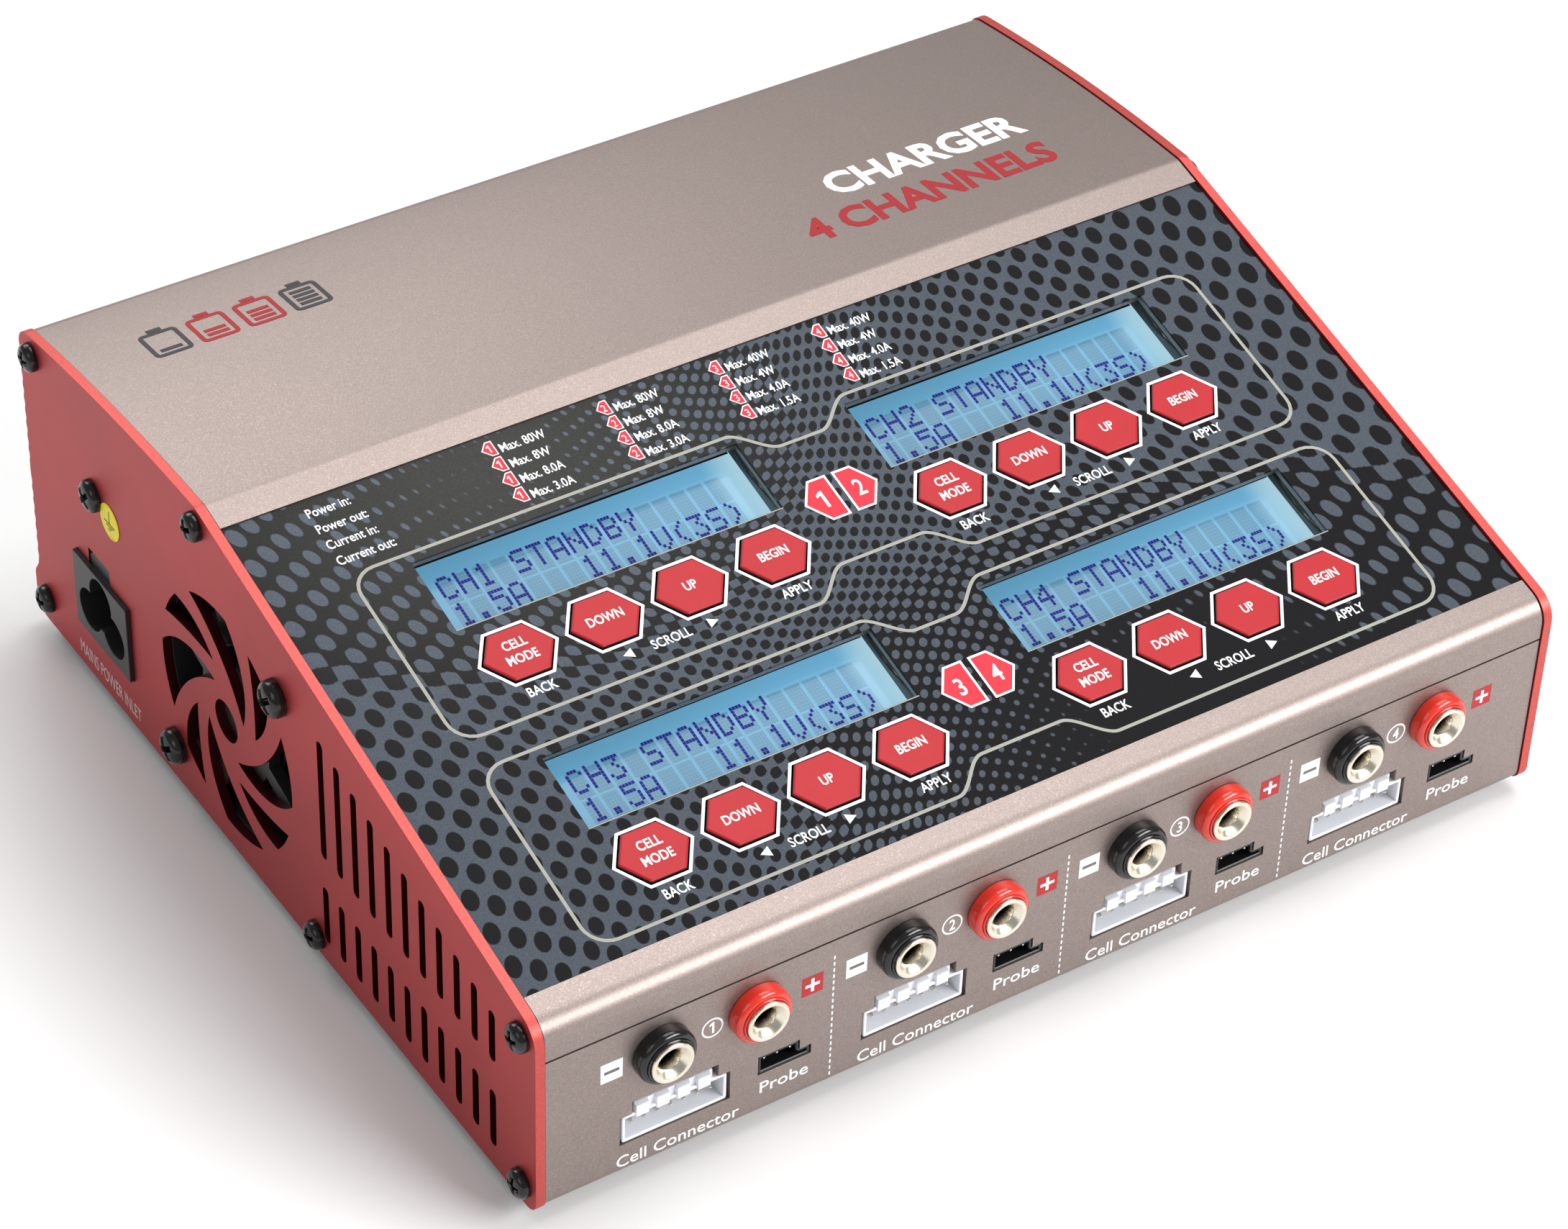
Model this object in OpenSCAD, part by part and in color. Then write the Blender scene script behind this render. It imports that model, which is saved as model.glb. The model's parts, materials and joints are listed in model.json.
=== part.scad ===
// Four-channel balance battery charger: two bent aluminium shells between two end plates.
// Lengths are in millimetres. +Z is up, the socket panel faces -Y, and X runs from plate to plate.
// The origin is on the table, under the middle of the footprint.

/* [Case] */
// Length of the shells between the end plates
shell_len = 202.4; // [200:0.2:206]
// Depth from the socket panel to the rear wall
case_depth = 178; // [176:0.5:182]
// Height of the bend above the underside of the shells
bend_h = 69.4; // [68.5:0.1:71]
// Distance of the bend behind the socket panel
bend_y = 110.8; // [109:0.1:112]
// Tilt of the keypad face
slope = 14.87; // [14.5:0.01:15.3]
// Wall thickness of the shells
wall = 2; // [1.8:0.1:2.2]
// Height of the joint line between the shells
seam_h = 32.9; // [32.5:0.1:33.4]
// Width of the joint line
seam_gap = 0.4; // [0.3:0.1:0.6]
// Thickness of the end plates
plate_t = 1.8; // [1.6:0.1:2]
// How far the end plates stand proud of the shells
plate_proud = 0.3; // [0.2:0.05:0.5]
// Height of the rubber feet
foot_h = 3.3; // [2.5:0.1:4]

/* [Keypad] */
// Height of the overlay along the slope
overlay_len = 101.9; // [101.5:0.1:102.2]
// Thickness of the overlay
overlay_t = 0.5; // [0.4:0.05:0.6]
// Distance between neighbouring keys
key_pitch = 16.65; // [16.4:0.05:16.8]
// Width of a key across its left and right corners
key_w = 13.6; // [13:0.1:13.8]
// Height of a key across its flat sides
key_h = 10.1; // [9.6:0.1:10.3]
// Travel of a key
key_travel = 0.4; // [0.2:0.05:0.5]
// Half the distance between the left and right key blocks
block_x = 43.2; // [43:0.1:43.6]

/* [Socket panel] */
// Distance between neighbouring channels
channel_pitch = 46.65; // [46.4:0.05:46.9]
// Bore of a banana jack
jack_bore = 4.1; // [4:0.05:4.2]
// How far the metal sleeves of the jacks stand out of the panel
jack_out = 3.75; // [3:0.05:4.5]
// How far the sleeves stand out of their collars
sleeve_out = 0.85; // [0.5:0.05:1.2]
// Outer diameter of a jack collar
jack_d = 10.8; // [10.4:0.1:11]

/* [Fan] */
// Side of the square fan frame
fan_size = 50; // [50]
// Depth of the fan
fan_depth = 15; // [14:0.5:15]
// Distance between the fan's screw holes
fan_holes = 40; // [40]

/* [Hidden] */
$fn = 48;
lip_out = 1.9;
overlay_sunk = 0.3;
front_y = -(case_depth + lip_out - jack_out) / 2;
plate_x = shell_len / 2;
crown_r = 441;
crown_y = bend_y + 1.2;
front_r = 5;
bend_r = 4;
rear_r = 3.5;
sill_r = 2.6;
heel_r = 3.2;
rib_pitch = 2.9;
rib_depth = 0.3;
port_bore_r = 1.3;
screw_r = 1.25;
screw_head_r = 2.75;
screw_head_h = 2.1;
fan_y = 103.2;
fan_z = 28.3;
fan_screw_at = [[-fan_holes / 2, fan_holes / 2], [fan_holes / 2, -fan_holes / 2]];
earth_at = [151.4, 45];
earth_badge_at = [145.1, 43.2];
upper_screws = [[4.2, 36.4], [bend_y, 65.6], [173.2, 61.2]];
lower_screws = [[4, 4], [72.4, 3.5], [175.2, 5.2]];
upper_port_r = 2.7;
lower_port_r = [2.4, 2.1, 3.4];
slot_pitch = 5.56;
slot_w = 2;
slot_first_y = 13.2;
slot_count = 11;
window_w = 64.1;
window_h = 15.4;
window_t = [-26.7, -70.5];
key_t = [-42.84, -86.81];
channel_x = [-1.5 * channel_pitch, -0.5 * channel_pitch, 0.5 * channel_pitch, 1.5 * channel_pitch];
jack_z = 25;
jack_dx = [-9.6, 8.5];
sleeve_r = 3.98;
header_dx = -6.75;
cut_w = 21;
cut_z = 7.12;
header_w = 19.9;
header_h = 5.75;
header_z = 7.35;
header_front = 1;
header_len = 8.6;
sensor_dx = 13.15;
board_z = 5.75;
board_t = 1.6;
control_n = -8.4;
switch_h = 4;
glass_n = -4.5;
glass_t = 1.4;
inlet_y = 150.15;
inlet_z = 18.95;
inlet_w = 21.1;
inlet_h = 16.6;
inlet_out = 0.9;
dc_y = 150;
dc_z = 20;

CHANNELS = [1, 2, 3, 4];

// ---- Colours -------------------------------------------------------------------------

shell_tone = [0.62, 0.56, 0.53];
plate_red = [0.72, 0.16, 0.17];
key_red = [0.86, 0.12, 0.16];

// ---- Outlines in the Y-Z plane -------------------------------------------------------
// They start at the socket panel's face and the underside of the shells.
// d is the distance inside the outer surface, and a plate's outline has a negative d.

function arc(c, r, a0, a1, n) =
    [for (i = [0 : n]) c + r * [cos(a0 + (a1 - a0) * i / n), sin(a0 + (a1 - a0) * i / n)]];
function flip(points) = [for (i = [len(points) - 1 : -1 : 0]) points[i]];

// Height of the keypad face's plane at a distance y behind the panel
function slope_z(y) = bend_h - (bend_y - y) * tan(slope);

bend_c = [bend_y + bend_r * tan(slope / 2), bend_h - bend_r];
front_c = [front_r, slope_z(front_r) - front_r / cos(slope)];
crown_c = [crown_y, bend_h - crown_r];
rear_cy = case_depth - rear_r;
rear_c = [rear_cy, crown_c[1] + sqrt(pow(crown_r - rear_r, 2) - pow(rear_cy - crown_y, 2))];
rear_a = atan2(rear_c[1] - crown_c[1], rear_cy - crown_y);

// Shallow ribs down the rear wall, on outer surfaces only
function ribs(d, z0, z1) = d > 0 ? [] : [for (z = [z0 : -rib_pitch / 4 : z1])
    [case_depth - d - rib_depth * (1 - cos(360 * z / rib_pitch)) / 2, z]];

// Over the top, from the panel side of the joint line to its rear side
function top_line(d) = concat(
    [[d, seam_h + seam_gap / 2]],
    arc(front_c, front_r - d, 180, 90 + slope, 8),
    arc(bend_c, bend_r - d, 90 + slope, 90, 4),
    arc(crown_c, crown_r - d, 90, rear_a, 14),
    arc(rear_c, rear_r - d, rear_a, 0, 6),
    ribs(d, rear_c[1] - 1.5, seam_h + 1.5),
    [[case_depth - d, seam_h + seam_gap / 2]]);

// Under the bottom, from the rear side of the joint line to its panel side
lip_top = 12;
lip_low = 8;
lip_y = case_depth + lip_out;
function bottom_line(d) = concat(
    [[case_depth - d, seam_h - seam_gap / 2]],
    ribs(d, seam_h - 1.5, lip_top + 1),
    [for (i = [0 : 6]) [case_depth - d + lip_out * (1 - cos(30 * i)) / 2,
        lip_top + (lip_low - lip_top) * i / 6]],
    arc([lip_y - heel_r, heel_r], heel_r - d, 0, -90, 5),
    arc([sill_r, sill_r], sill_r - d, -90, -180, 5),
    [[d, seam_h - seam_gap / 2]]);

// ---- Placing -------------------------------------------------------------------------

// Case coordinates: y from the panel's face, z from the underside of the shells
module in_case() { translate([0, front_y, foot_h]) children(); }

// A Y-Z outline drawn as 2D x and y, extruded along X between two planes
module along_x(x0, x1) {
    translate([x0, 0, 0]) rotate([90, 0, 90]) linear_extrude(x1 - x0) children();
}

// Keypad coordinates: x, t up the slope from the overlay's top edge, n out of the overlay
overlay_top_y = bend_y - 5.75 * cos(slope);
overlay_top_z = slope_z(overlay_top_y) - overlay_sunk / cos(slope);
module on_slope() { translate([0, overlay_top_y, overlay_top_z]) rotate([slope, 0, 0]) children(); }

// Panel coordinates: axis of a round piece that comes out of the panel
module out_of_panel(x, z) { translate([x, 0, z]) rotate([90, 0, 0]) children(); }

module rounded_slot(w, z0, z1) {
    end_r = w / 2;
    translate([0, z0 + end_r]) circle(end_r, $fn = 24);
    translate([0, z1 - end_r]) circle(end_r, $fn = 24);
    translate([-end_r, z0 + end_r]) square([w, z1 - z0 - w]);
}

// ---- Shells --------------------------------------------------------------------------

module ports(at, radii) {
    difference() {
        for (i = [0 : len(at) - 1]) translate(at[i]) circle(radii[i]);
        for (p = at) translate(p) circle(port_bore_r);
    }
}

module port_bores(at) {
    for (p = at) translate(p) circle(port_bore_r);
}

// Hexagon with corners left and right, wider than a regular one; grown is added to both sizes
module key_hexagon(grown) {
    w = key_w + grown;
    h = key_h + grown;
    polygon([[-w / 2, 0], [-w / 4, -h / 2], [w / 4, -h / 2], [w / 2, 0], [w / 4, h / 2], [-w / 4, h / 2]]);
}

module key_prism(row, side, column, grown, n0, n1) {
    x = side * block_x + (column - 1.5) * key_pitch;
    translate([x, key_t[row], n0]) linear_extrude(n1 - n0) key_hexagon(grown);
}

module keypad_openings(window_margin, key_grown, n0, n1) {
    for (row = [0, 1], side = [-1, 1]) {
        translate([side * block_x, window_t[row], (n0 + n1) / 2])
            cube([window_w + 2 * window_margin, window_h + 2 * window_margin, n1 - n0], center = true);
        for (column = [0 : 3]) key_prism(row, side, column, key_grown, n0, n1);
    }
}

module upper_shell() color(shell_tone) in_case() {
    half = plate_x - 0.2;
    recess = overlay_sunk + overlay_t;
    difference() {
        union() {
            along_x(-half, half) difference() {
                polygon(concat(top_line(0), flip(top_line(wall))));
                port_bores(upper_screws);
            }
            along_x(-plate_x, plate_x) ports(upper_screws, [upper_port_r, upper_port_r, upper_port_r]);
        }
        on_slope() translate([-plate_x, -overlay_len - 0.1, -overlay_t])
            cube([shell_len, overlay_len + 0.2, recess + 2]);
        on_slope() keypad_openings(0.15, 1.2, -6, 2);
    }
}

// Tongue behind the panel that closes the joint line from inside
module tongue() {
    polygon([[wall - 0.1, 30.9], [wall + 1.3, 30.9], [wall + 1.3, seam_h + 0.6],
        [wall + 0.15, seam_h + 0.6], [wall + 0.15, seam_h - 1], [wall - 0.1, seam_h - 1]]);
}

// Cut-out through the panel, from x0 to x1 and z0 to z1
module panel_cut(x0, x1, z0, z1) {
    translate([x0, -1, z0]) cube([x1 - x0, wall + 4, z1 - z0]);
}

module balance_cut(x) {
    panel_cut(x - cut_w / 2, x + cut_w / 2, cut_z, cut_z + 6.2);
    panel_cut(x - 8.2, x + 8.2, cut_z + 6, cut_z + 8.9);
}

module sensor_cut(x) {
    panel_cut(x - 4.05, x + 4.05, 9.5, 13.6);
    panel_cut(x + 4, x + 6.3, 9.5, 11.55);
}

module lower_shell() color(shell_tone) in_case() {
    half = plate_x - 0.2;
    difference() {
        union() {
            along_x(-half, half) difference() {
                union() {
                    polygon(concat(bottom_line(0), flip(bottom_line(wall))));
                    tongue();
                }
                port_bores(lower_screws);
            }
            along_x(-plate_x, plate_x) ports(lower_screws, lower_port_r);
        }
        for (x = channel_x) {
            for (dx = jack_dx) out_of_panel(x + dx, jack_z) cylinder(r = 4.7, h = 20, center = true);
            balance_cut(x + header_dx);
            sensor_cut(x + sensor_dx);
        }
    }
}

// ---- End plates ----------------------------------------------------------------------

module plate_outline() {
    polygon(concat(top_line(-plate_proud), bottom_line(-plate_proud)));
}

module screw_holes(at, r) {
    for (p = at) translate(p) circle(r);
}

// Vent slots between y0 and y1, in two rows; the upper row follows the slope
module vent_slots(first_y, count) {
    for (i = [0 : count - 1]) {
        y = first_y + i * slot_pitch;
        top = min(34.3 + (y - slot_first_y) * tan(slope), 49.4);
        translate([y, 0]) rounded_slot(slot_w, 23.5, top);
        translate([y, 0]) rounded_slot(slot_w, 4.4, 16.7);
    }
}

// Circle through three points, as [centre x, centre y, radius]
function circle_by(a, b, c) =
    let (m = 2 * (a[0] * (b[1] - c[1]) + b[0] * (c[1] - a[1]) + c[0] * (a[1] - b[1])))
    let (aa = a * a, bb = b * b, cc = c * c)
    let (x = (aa * (b[1] - c[1]) + bb * (c[1] - a[1]) + cc * (a[1] - b[1])) / m)
    let (y = (aa * (c[0] - b[0]) + bb * (a[0] - c[0]) + cc * (b[0] - a[0])) / m)
    [x, y, norm([a[0] - x, a[1] - y])];

module disc(c) { translate([c[0], c[1]]) circle(c[2], $fn = 96); }

// Opening between a bulging edge and a hollow edge, inside the grille's outer circle
grille_r = 23.6;
module petal(bulge, hollow) {
    difference() {
        intersection() {
            circle(grille_r, $fn = 96);
            disc(bulge);
        }
        disc(hollow);
    }
}

// Swirl grille seen from outside the left plate: first axis towards the front, second up
wide_tip = [6.6, 3.6];
narrow_tip = [-3.7, 10.9];
module grille() {
    wide_bulge = circle_by([1.75, 23.55], [7.25, 14], wide_tip);
    wide_hollow = circle_by(wide_tip, [0.4, 12.6], [-11.5, 20.5]);
    narrow_bulge = circle_by([-17.5, 16.1], [-10.6, 15.3], narrow_tip);
    narrow_hollow = circle_by([-21.4, 9.7], [-12.5, 10.9], narrow_tip);
    circle(4.05);
    for (a = [0 : 90 : 270]) rotate(a) {
        petal(wide_bulge, wide_hollow);
        intersection() {
            petal(narrow_bulge, narrow_hollow);
            translate([-24, 5]) square([22, 20]);
        }
    }
}

module left_plate() color(plate_red) in_case() {
    along_x(-plate_x - plate_t, -plate_x) difference() {
        plate_outline();
        screw_holes(concat(upper_screws, lower_screws), 1.6);
        screw_holes([earth_at], 2.1);
        vent_slots(slot_first_y, slot_count);
        translate([fan_y, fan_z]) {
            mirror([1, 0]) grille();
            for (p = fan_screw_at) translate(p) circle(2.15);
        }
        translate([inlet_y - inlet_w / 2, inlet_z - inlet_h / 2]) square([inlet_w, inlet_h]);
        translate([inlet_y - 2.9, inlet_z + inlet_h / 2 - 1]) square([8.2, 4.4]);
    }
}

module right_plate() color(plate_red) in_case() {
    along_x(plate_x, plate_x + plate_t) difference() {
        plate_outline();
        screw_holes(concat(upper_screws, lower_screws), 1.6);
        vent_slots(slot_first_y, slot_count);
        vent_slots(slot_first_y + (slot_count + 1) * slot_pitch, 8);
        translate([dc_y - 8.2, dc_z - 4.2]) square([16.4, 8.4]);
    }
}

// ---- Keypad --------------------------------------------------------------------------

module keypad_overlay() color([0.2, 0.21, 0.24]) in_case() on_slope() {
    difference() {
        translate([-plate_x + 0.25, -overlay_len, -overlay_t]) cube([shell_len - 0.5, overlay_len, overlay_t]);
        keypad_openings(0, 0.5, -1, 1);
    }
}

// A key cap with its flange under the shell and its post over the switch
module key_cap(row, side, column) color(key_red) in_case() on_slope() {
    x = side * block_x + (column - 1.5) * key_pitch;
    post_n = control_n + switch_h + key_travel + 0.1;
    key_prism(row, side, column, 0, -2.9, 0.2);
    translate([x, key_t[row], 0.2]) linear_extrude(0.4, scale = 0.95) key_hexagon(0);
    key_prism(row, side, column, 1.9, -3.1, -2.1);
    translate([x, key_t[row], post_n]) cylinder(r = 1.75, h = -3 - post_n);
}

module channel_key(channel, column) {
    key_cap(channel > 2 ? 1 : 0, channel % 2 == 1 ? -1 : 1, column);
}

module lcd_at(channel) {
    in_case() on_slope() translate([(channel % 2 == 1 ? -1 : 1) * block_x, window_t[channel > 2 ? 1 : 0], 0])
        children();
}

module lcd_frame(channel) color([0.1, 0.12, 0.13]) lcd_at(channel) difference() {
    translate([-35.5, -9.7, control_n]) cube([71, 21.4, -1.9 - control_n]);
    translate([-32.3, -7.95, glass_n]) cube([64.6, 18, 5]);
    translate([-33, -8.5, glass_n - glass_t]) cube([66, 19, glass_t + 0.1]);
}

module lcd_glass(channel) color([0.45, 0.72, 0.9]) lcd_at(channel)
    translate([-32.8, -8.3, glass_n - glass_t]) cube([65.6, 18.6, glass_t]);

module control_board() color([0.1, 0.35, 0.2]) in_case() on_slope()
    translate([-82, -98.5, control_n - board_t]) cube([164, 95.5, board_t]);

module key_switches() color([0.12, 0.12, 0.13]) in_case() on_slope() {
    for (row = [0, 1], side = [-1, 1], column = [0 : 3])
        translate([side * block_x + (column - 1.5) * key_pitch, key_t[row], control_n]) {
            translate([-3, -3, 0]) cube([6, 6, 3]);
            cylinder(r = 1.6, h = switch_h);
        }
}

// ---- Socket panel --------------------------------------------------------------------

// Collar with its shank through the panel and the catch behind it
collar_out = jack_out - sleeve_out;
collar_round = 1.1;
module jack_collar(channel, dx) in_case() out_of_panel(channel_x[channel - 1] + dx, jack_z)
    rotate_extrude() polygon(concat(
        [[4, -9], [4.6, -9], [4.6, -5.1], [5.5, -5.1], [5.5, -wall - 0.1], [4.6, -wall - 0.1], [4.6, 0]],
        [[jack_d / 2, 0]],
        arc([jack_d / 2 - collar_round, collar_out - collar_round], collar_round, 0, 90, 5),
        [[4, collar_out]]));

module jack_sleeves() color([0.78, 0.74, 0.68]) in_case()
    for (x = channel_x, dx = jack_dx) out_of_panel(x + dx, jack_z) rotate_extrude()
        polygon([[0, -14.5], [2.2, -14.5], [2.2, -12.5], [sleeve_r, -12.5], [sleeve_r, jack_out - 0.25],
            [sleeve_r - 0.25, jack_out], [3.15, jack_out], [jack_bore / 2, jack_out - 1.25],
            [jack_bore / 2, -11], [0, -11]]);

// Shrouded seven-way header, open towards the front
module balance_socket(channel) color([0.93, 0.92, 0.88]) in_case()
    translate([channel_x[channel - 1] + header_dx, header_front, header_z]) difference() {
        translate([-header_w / 2, 0, 0]) cube([header_w, header_len, header_h]);
        translate([-header_w / 2 + 0.9, -1, 0.7]) cube([header_w - 1.8, 7, header_h - 1.3]);
        for (dx = [-6, 6]) translate([dx - 1.1, -1, header_h - 1]) cube([2.2, 5, 2]);
    }

module sensor_sockets() color([0.1, 0.1, 0.11]) in_case()
    for (x = channel_x) translate([x + sensor_dx, header_front, header_z]) difference() {
        translate([-4.9, 1.1, 0]) cube([9.8, 7.5, 7]);
        translate([-3.9, 0, 2.3]) cube([7.8, 6, 3.9]);
    }

// Square pins of the headers, with their tails down to the board
module pin_row(count, pitch, tip_y, z) {
    for (i = [0 : count - 1]) translate([(i - (count - 1) / 2) * pitch - 0.32, 0, z - 0.32]) {
        translate([0, tip_y, 0]) cube([0.64, 12.4 - tip_y, 0.64]);
        translate([0, 11.76, header_z - z + 0.32]) cube([0.64, 0.64, z - header_z]);
    }
}

module contact_pins() color([0.85, 0.8, 0.6]) in_case() {
    for (x = channel_x) {
        translate([x + header_dx, 0, 0]) pin_row(7, 2.5, 4.4, header_z + 2.85);
        translate([x + sensor_dx, 0, 0]) pin_row(3, 2.5, 4.4, header_z + 4.25);
    }
    for (p = inlet_pins) translate([inlet_face + 4.6, inlet_y + p[0], inlet_z + p[1]])
        rotate([0, 90, 0]) cylinder(r = 1.15, h = 14);
    for (dy = [-3.6, 3.6]) translate([plate_x + 0.9, dc_y + dy, dc_z]) rotate([0, -90, 0])
        cylinder(r = 1.7, h = 14);
}

// ---- Inlets --------------------------------------------------------------------------

inlet_face = -plate_x - plate_t - inlet_out;
inlet_pins = [[4.55, -1.85], [-4.55, -1.85], [0, 3.3]];
module clover() {
    for (p = inlet_pins) translate(p) circle(4.2);
    circle(3.6);
}

module mains_inlet() color([0.17, 0.17, 0.17]) in_case() {
    difference() {
        union() {
            translate([inlet_face, inlet_y - inlet_w / 2 + 0.15, inlet_z - inlet_h / 2 + 0.15])
                cube([16, inlet_w - 0.3, inlet_h - 0.3]);
            translate([-plate_x + 0.1, inlet_y - 2.4, inlet_z]) cube([3, 7.2, inlet_h / 2 + 2.8]);
        }
        translate([0, inlet_y, inlet_z]) along_x(inlet_face - 1, inlet_face + 12) clover();
        for (p = inlet_pins) translate([inlet_face + 11, inlet_y + p[0], inlet_z + p[1]]) rotate([0, 90, 0])
            cylinder(r = 1.17, h = 6);
    }
}

module dc_inlet() color([0.85, 0.68, 0.1]) in_case() difference() {
    translate([plate_x - 12, dc_y - 8.1, dc_z - 4.1]) cube([12 + plate_t + 2.9, 16.2, 8.2]);
    translate([plate_x - 3, dc_y - 7.1, dc_z - 3.1]) cube([12, 14.2, 6.2]);
    for (dy = [-3.6, 3.6]) translate([plate_x - 20, dc_y + dy, dc_z]) rotate([0, 90, 0])
        cylinder(r = 1.72, h = 20);
}

// ---- Fan -----------------------------------------------------------------------------

// Fan coordinates: z runs into the case from the left plate's inner face
module in_fan() { in_case() translate([-plate_x, fan_y, fan_z]) rotate([0, 90, 0]) children(); }

fan_hub_r = 12.4;
fan_bore_r = 23.4;
module fan_frame() color([0.11, 0.11, 0.12]) in_fan() {
    difference() {
        translate([-fan_size / 2, -fan_size / 2, 0]) cube([fan_size, fan_size, fan_depth]);
        translate([0, 0, -1]) cylinder(r = fan_bore_r, h = fan_depth + 2, $fn = 96);
        for (x = [-1, 1], y = [-1, 1]) translate([x * fan_holes / 2, y * fan_holes / 2, -1])
            cylinder(r = 2.15, h = fan_depth + 2);
    }
    difference() {
        union() {
            cylinder(r = 12, h = 2.2);
            cylinder(r = 3, h = 11.5);
            for (a = [20 : 90 : 290]) rotate(a) translate([0, -1.6, 0]) cube([fan_bore_r + 0.5, 3.2, 2.2]);
        }
        translate([0, 0, 0.8]) cylinder(r = 1.04, h = 12);
    }
}

module fan_blade() {
    intersection() {
        difference() {
            translate([0, 0, 3.4]) cylinder(r = 22.7, h = 10.6, $fn = 96);
            cylinder(r = fan_hub_r - 0.3, h = fan_depth);
        }
        translate([17, 0, 8.7]) rotate([38, 0, 0]) cube([14, 15.5, 1.3], center = true);
    }
}

module fan_rotor() color([0.08, 0.08, 0.09]) in_fan() {
    difference() {
        translate([0, 0, 2.9]) cylinder(r = fan_hub_r, h = 11.3);
        translate([0, 0, 2]) cylinder(r = 11.2, h = 11);
    }
    translate([0, 0, 1.2]) cylinder(r = 1, h = 12.5);
    for (i = [0 : 6]) rotate(i * 360 / 7) fan_blade();
}

// ---- Fasteners -----------------------------------------------------------------------

// Pan head with a cross recess; z = 0 is under the head, and the shank goes to -length
module pan_screw(head_r, head_h, shank_r, length) {
    dome_r = (head_r * head_r + head_h * head_h) / head_h / 2 + 1.2;
    difference() {
        intersection() {
            cylinder(r = head_r, h = head_h);
            translate([0, 0, head_h - dome_r]) sphere(dome_r);
        }
        for (a = [45, 135]) rotate(a) translate([0, 0, head_h])
            cube([head_r * 1.15, head_r * 0.3, head_h * 1.1], center = true);
    }
    translate([0, 0, -length]) cylinder(r = shank_r, h = length + 0.2);
}

module outside(side, p) {
    translate([side * (plate_x + plate_t), p[0], p[1]]) rotate([0, side * 90, 0]) children();
}

module plate_screws() color([0.06, 0.06, 0.07]) in_case() {
    for (side = [-1, 1], p = concat(upper_screws, lower_screws))
        outside(side, p) pan_screw(screw_head_r, screw_head_h, screw_r, 12);
    outside(-1, earth_at) {
        pan_screw(screw_head_r, screw_head_h, 1.9, 8);
        translate([0, 0, -5.2]) cylinder(r = 3.6, h = 3, $fn = 6);
    }
}

module fan_screws() color([0.06, 0.06, 0.07]) in_case()
    for (p = fan_screw_at) outside(-1, [fan_y + p[0], fan_z + p[1]]) {
        pan_screw(3.5, 2.9, 1.9, fan_depth + plate_t + 5);
        translate([0, 0, -plate_t - fan_depth - 3.3]) cylinder(r = 3.9, h = 3.2, $fn = 6);
    }

module earth_badge() color([0.93, 0.82, 0.1]) in_case()
    outside(-1, earth_badge_at) cylinder(r = 3.6, h = 0.15);

module rubber_feet() color([0.08, 0.08, 0.08]) in_case()
    for (x = [-88, 88], y = [15, 163]) translate([x, y, -foot_h]) cylinder(r1 = 5.4, r2 = 6.2, h = foot_h);

// ---- Inside --------------------------------------------------------------------------

standoff_at = [[-76, 20], [90, 20], [-76, 92], [90, 92], [-76, 165], [90, 165]];

module main_board() color([0.1, 0.35, 0.2]) in_case() difference() {
    translate([-80, 8.4, board_z]) cube([178, 161.6, board_t]);
    for (p = standoff_at) translate([p[0], p[1], board_z - 1]) cylinder(r = 1.6, h = 4);
}

module standoffs() color([0.75, 0.62, 0.3]) in_case()
    for (p = standoff_at) translate([p[0], p[1], wall]) difference() {
        cylinder(r = 3, h = board_z - wall);
        translate([0, 0, 0.5]) cylinder(r = 1.25, h = board_z);
    }

board_top = board_z + board_t;
module transformer() color([0.2, 0.2, 0.22]) in_case() translate([-45, 146, board_top]) {
    translate([-20, -16, 0]) cube([40, 32, 4]);
    translate([-20, -16, 30]) cube([40, 32, 5]);
    for (x = [-20, 14]) translate([x, -16, 4]) cube([6, 32, 26]);
    translate([0, 0, 4]) cylinder(r = 13, h = 26);
}

module capacitors() color([0.15, 0.17, 0.3]) in_case()
    for (x = [-5, 20]) translate([x, 152, board_top]) cylinder(r = 11, h = 34);

module heat_sink() color([0.7, 0.71, 0.72]) in_case() translate([-60, 98, board_top]) {
    cube([130, 4, 30]);
    for (i = [0 : 18]) translate([i * 7, 4, 0]) cube([2, 12, 30]);
}

module channel_chokes() color([0.7, 0.42, 0.2]) in_case()
    for (x = channel_x) translate([x, 50, board_top]) difference() {
        cylinder(r = 10, h = 9);
        translate([0, 0, -1]) cylinder(r = 4.5, h = 11);
    }

// ---- Nodes ---------------------------------------------------------------------------

upper_shell();
lower_shell();
left_plate();
right_plate();
keypad_overlay();
for (c = CHANNELS) {
    channel_key(c, 0);
    channel_key(c, 1);
    channel_key(c, 2);
    channel_key(c, 3);
    lcd_frame(c);
    lcd_glass(c);
    color([0.05, 0.05, 0.06]) jack_collar(c, jack_dx[0]);
    color([0.85, 0.12, 0.1]) jack_collar(c, jack_dx[1]);
    balance_socket(c);
}
control_board();
key_switches();
jack_sleeves();
sensor_sockets();
contact_pins();
mains_inlet();
dc_inlet();
fan_frame();
fan_rotor();
fan_screws();
plate_screws();
earth_badge();
rubber_feet();
main_board();
standoffs();
transformer();
capacitors();
heat_sink();
channel_chokes();
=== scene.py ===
"""Balance battery charger: finishes, printed marks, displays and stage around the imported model.

Laid out as an add-on and run as a script. Blender lengths are metres; MM turns the charger's
millimetres into them. Every mesh is made in place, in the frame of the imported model.
"""

import json
import math

import bmesh
import bpy
from bpy.props import FloatProperty, FloatVectorProperty, PointerProperty
from mathutils import Matrix, Vector


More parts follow.
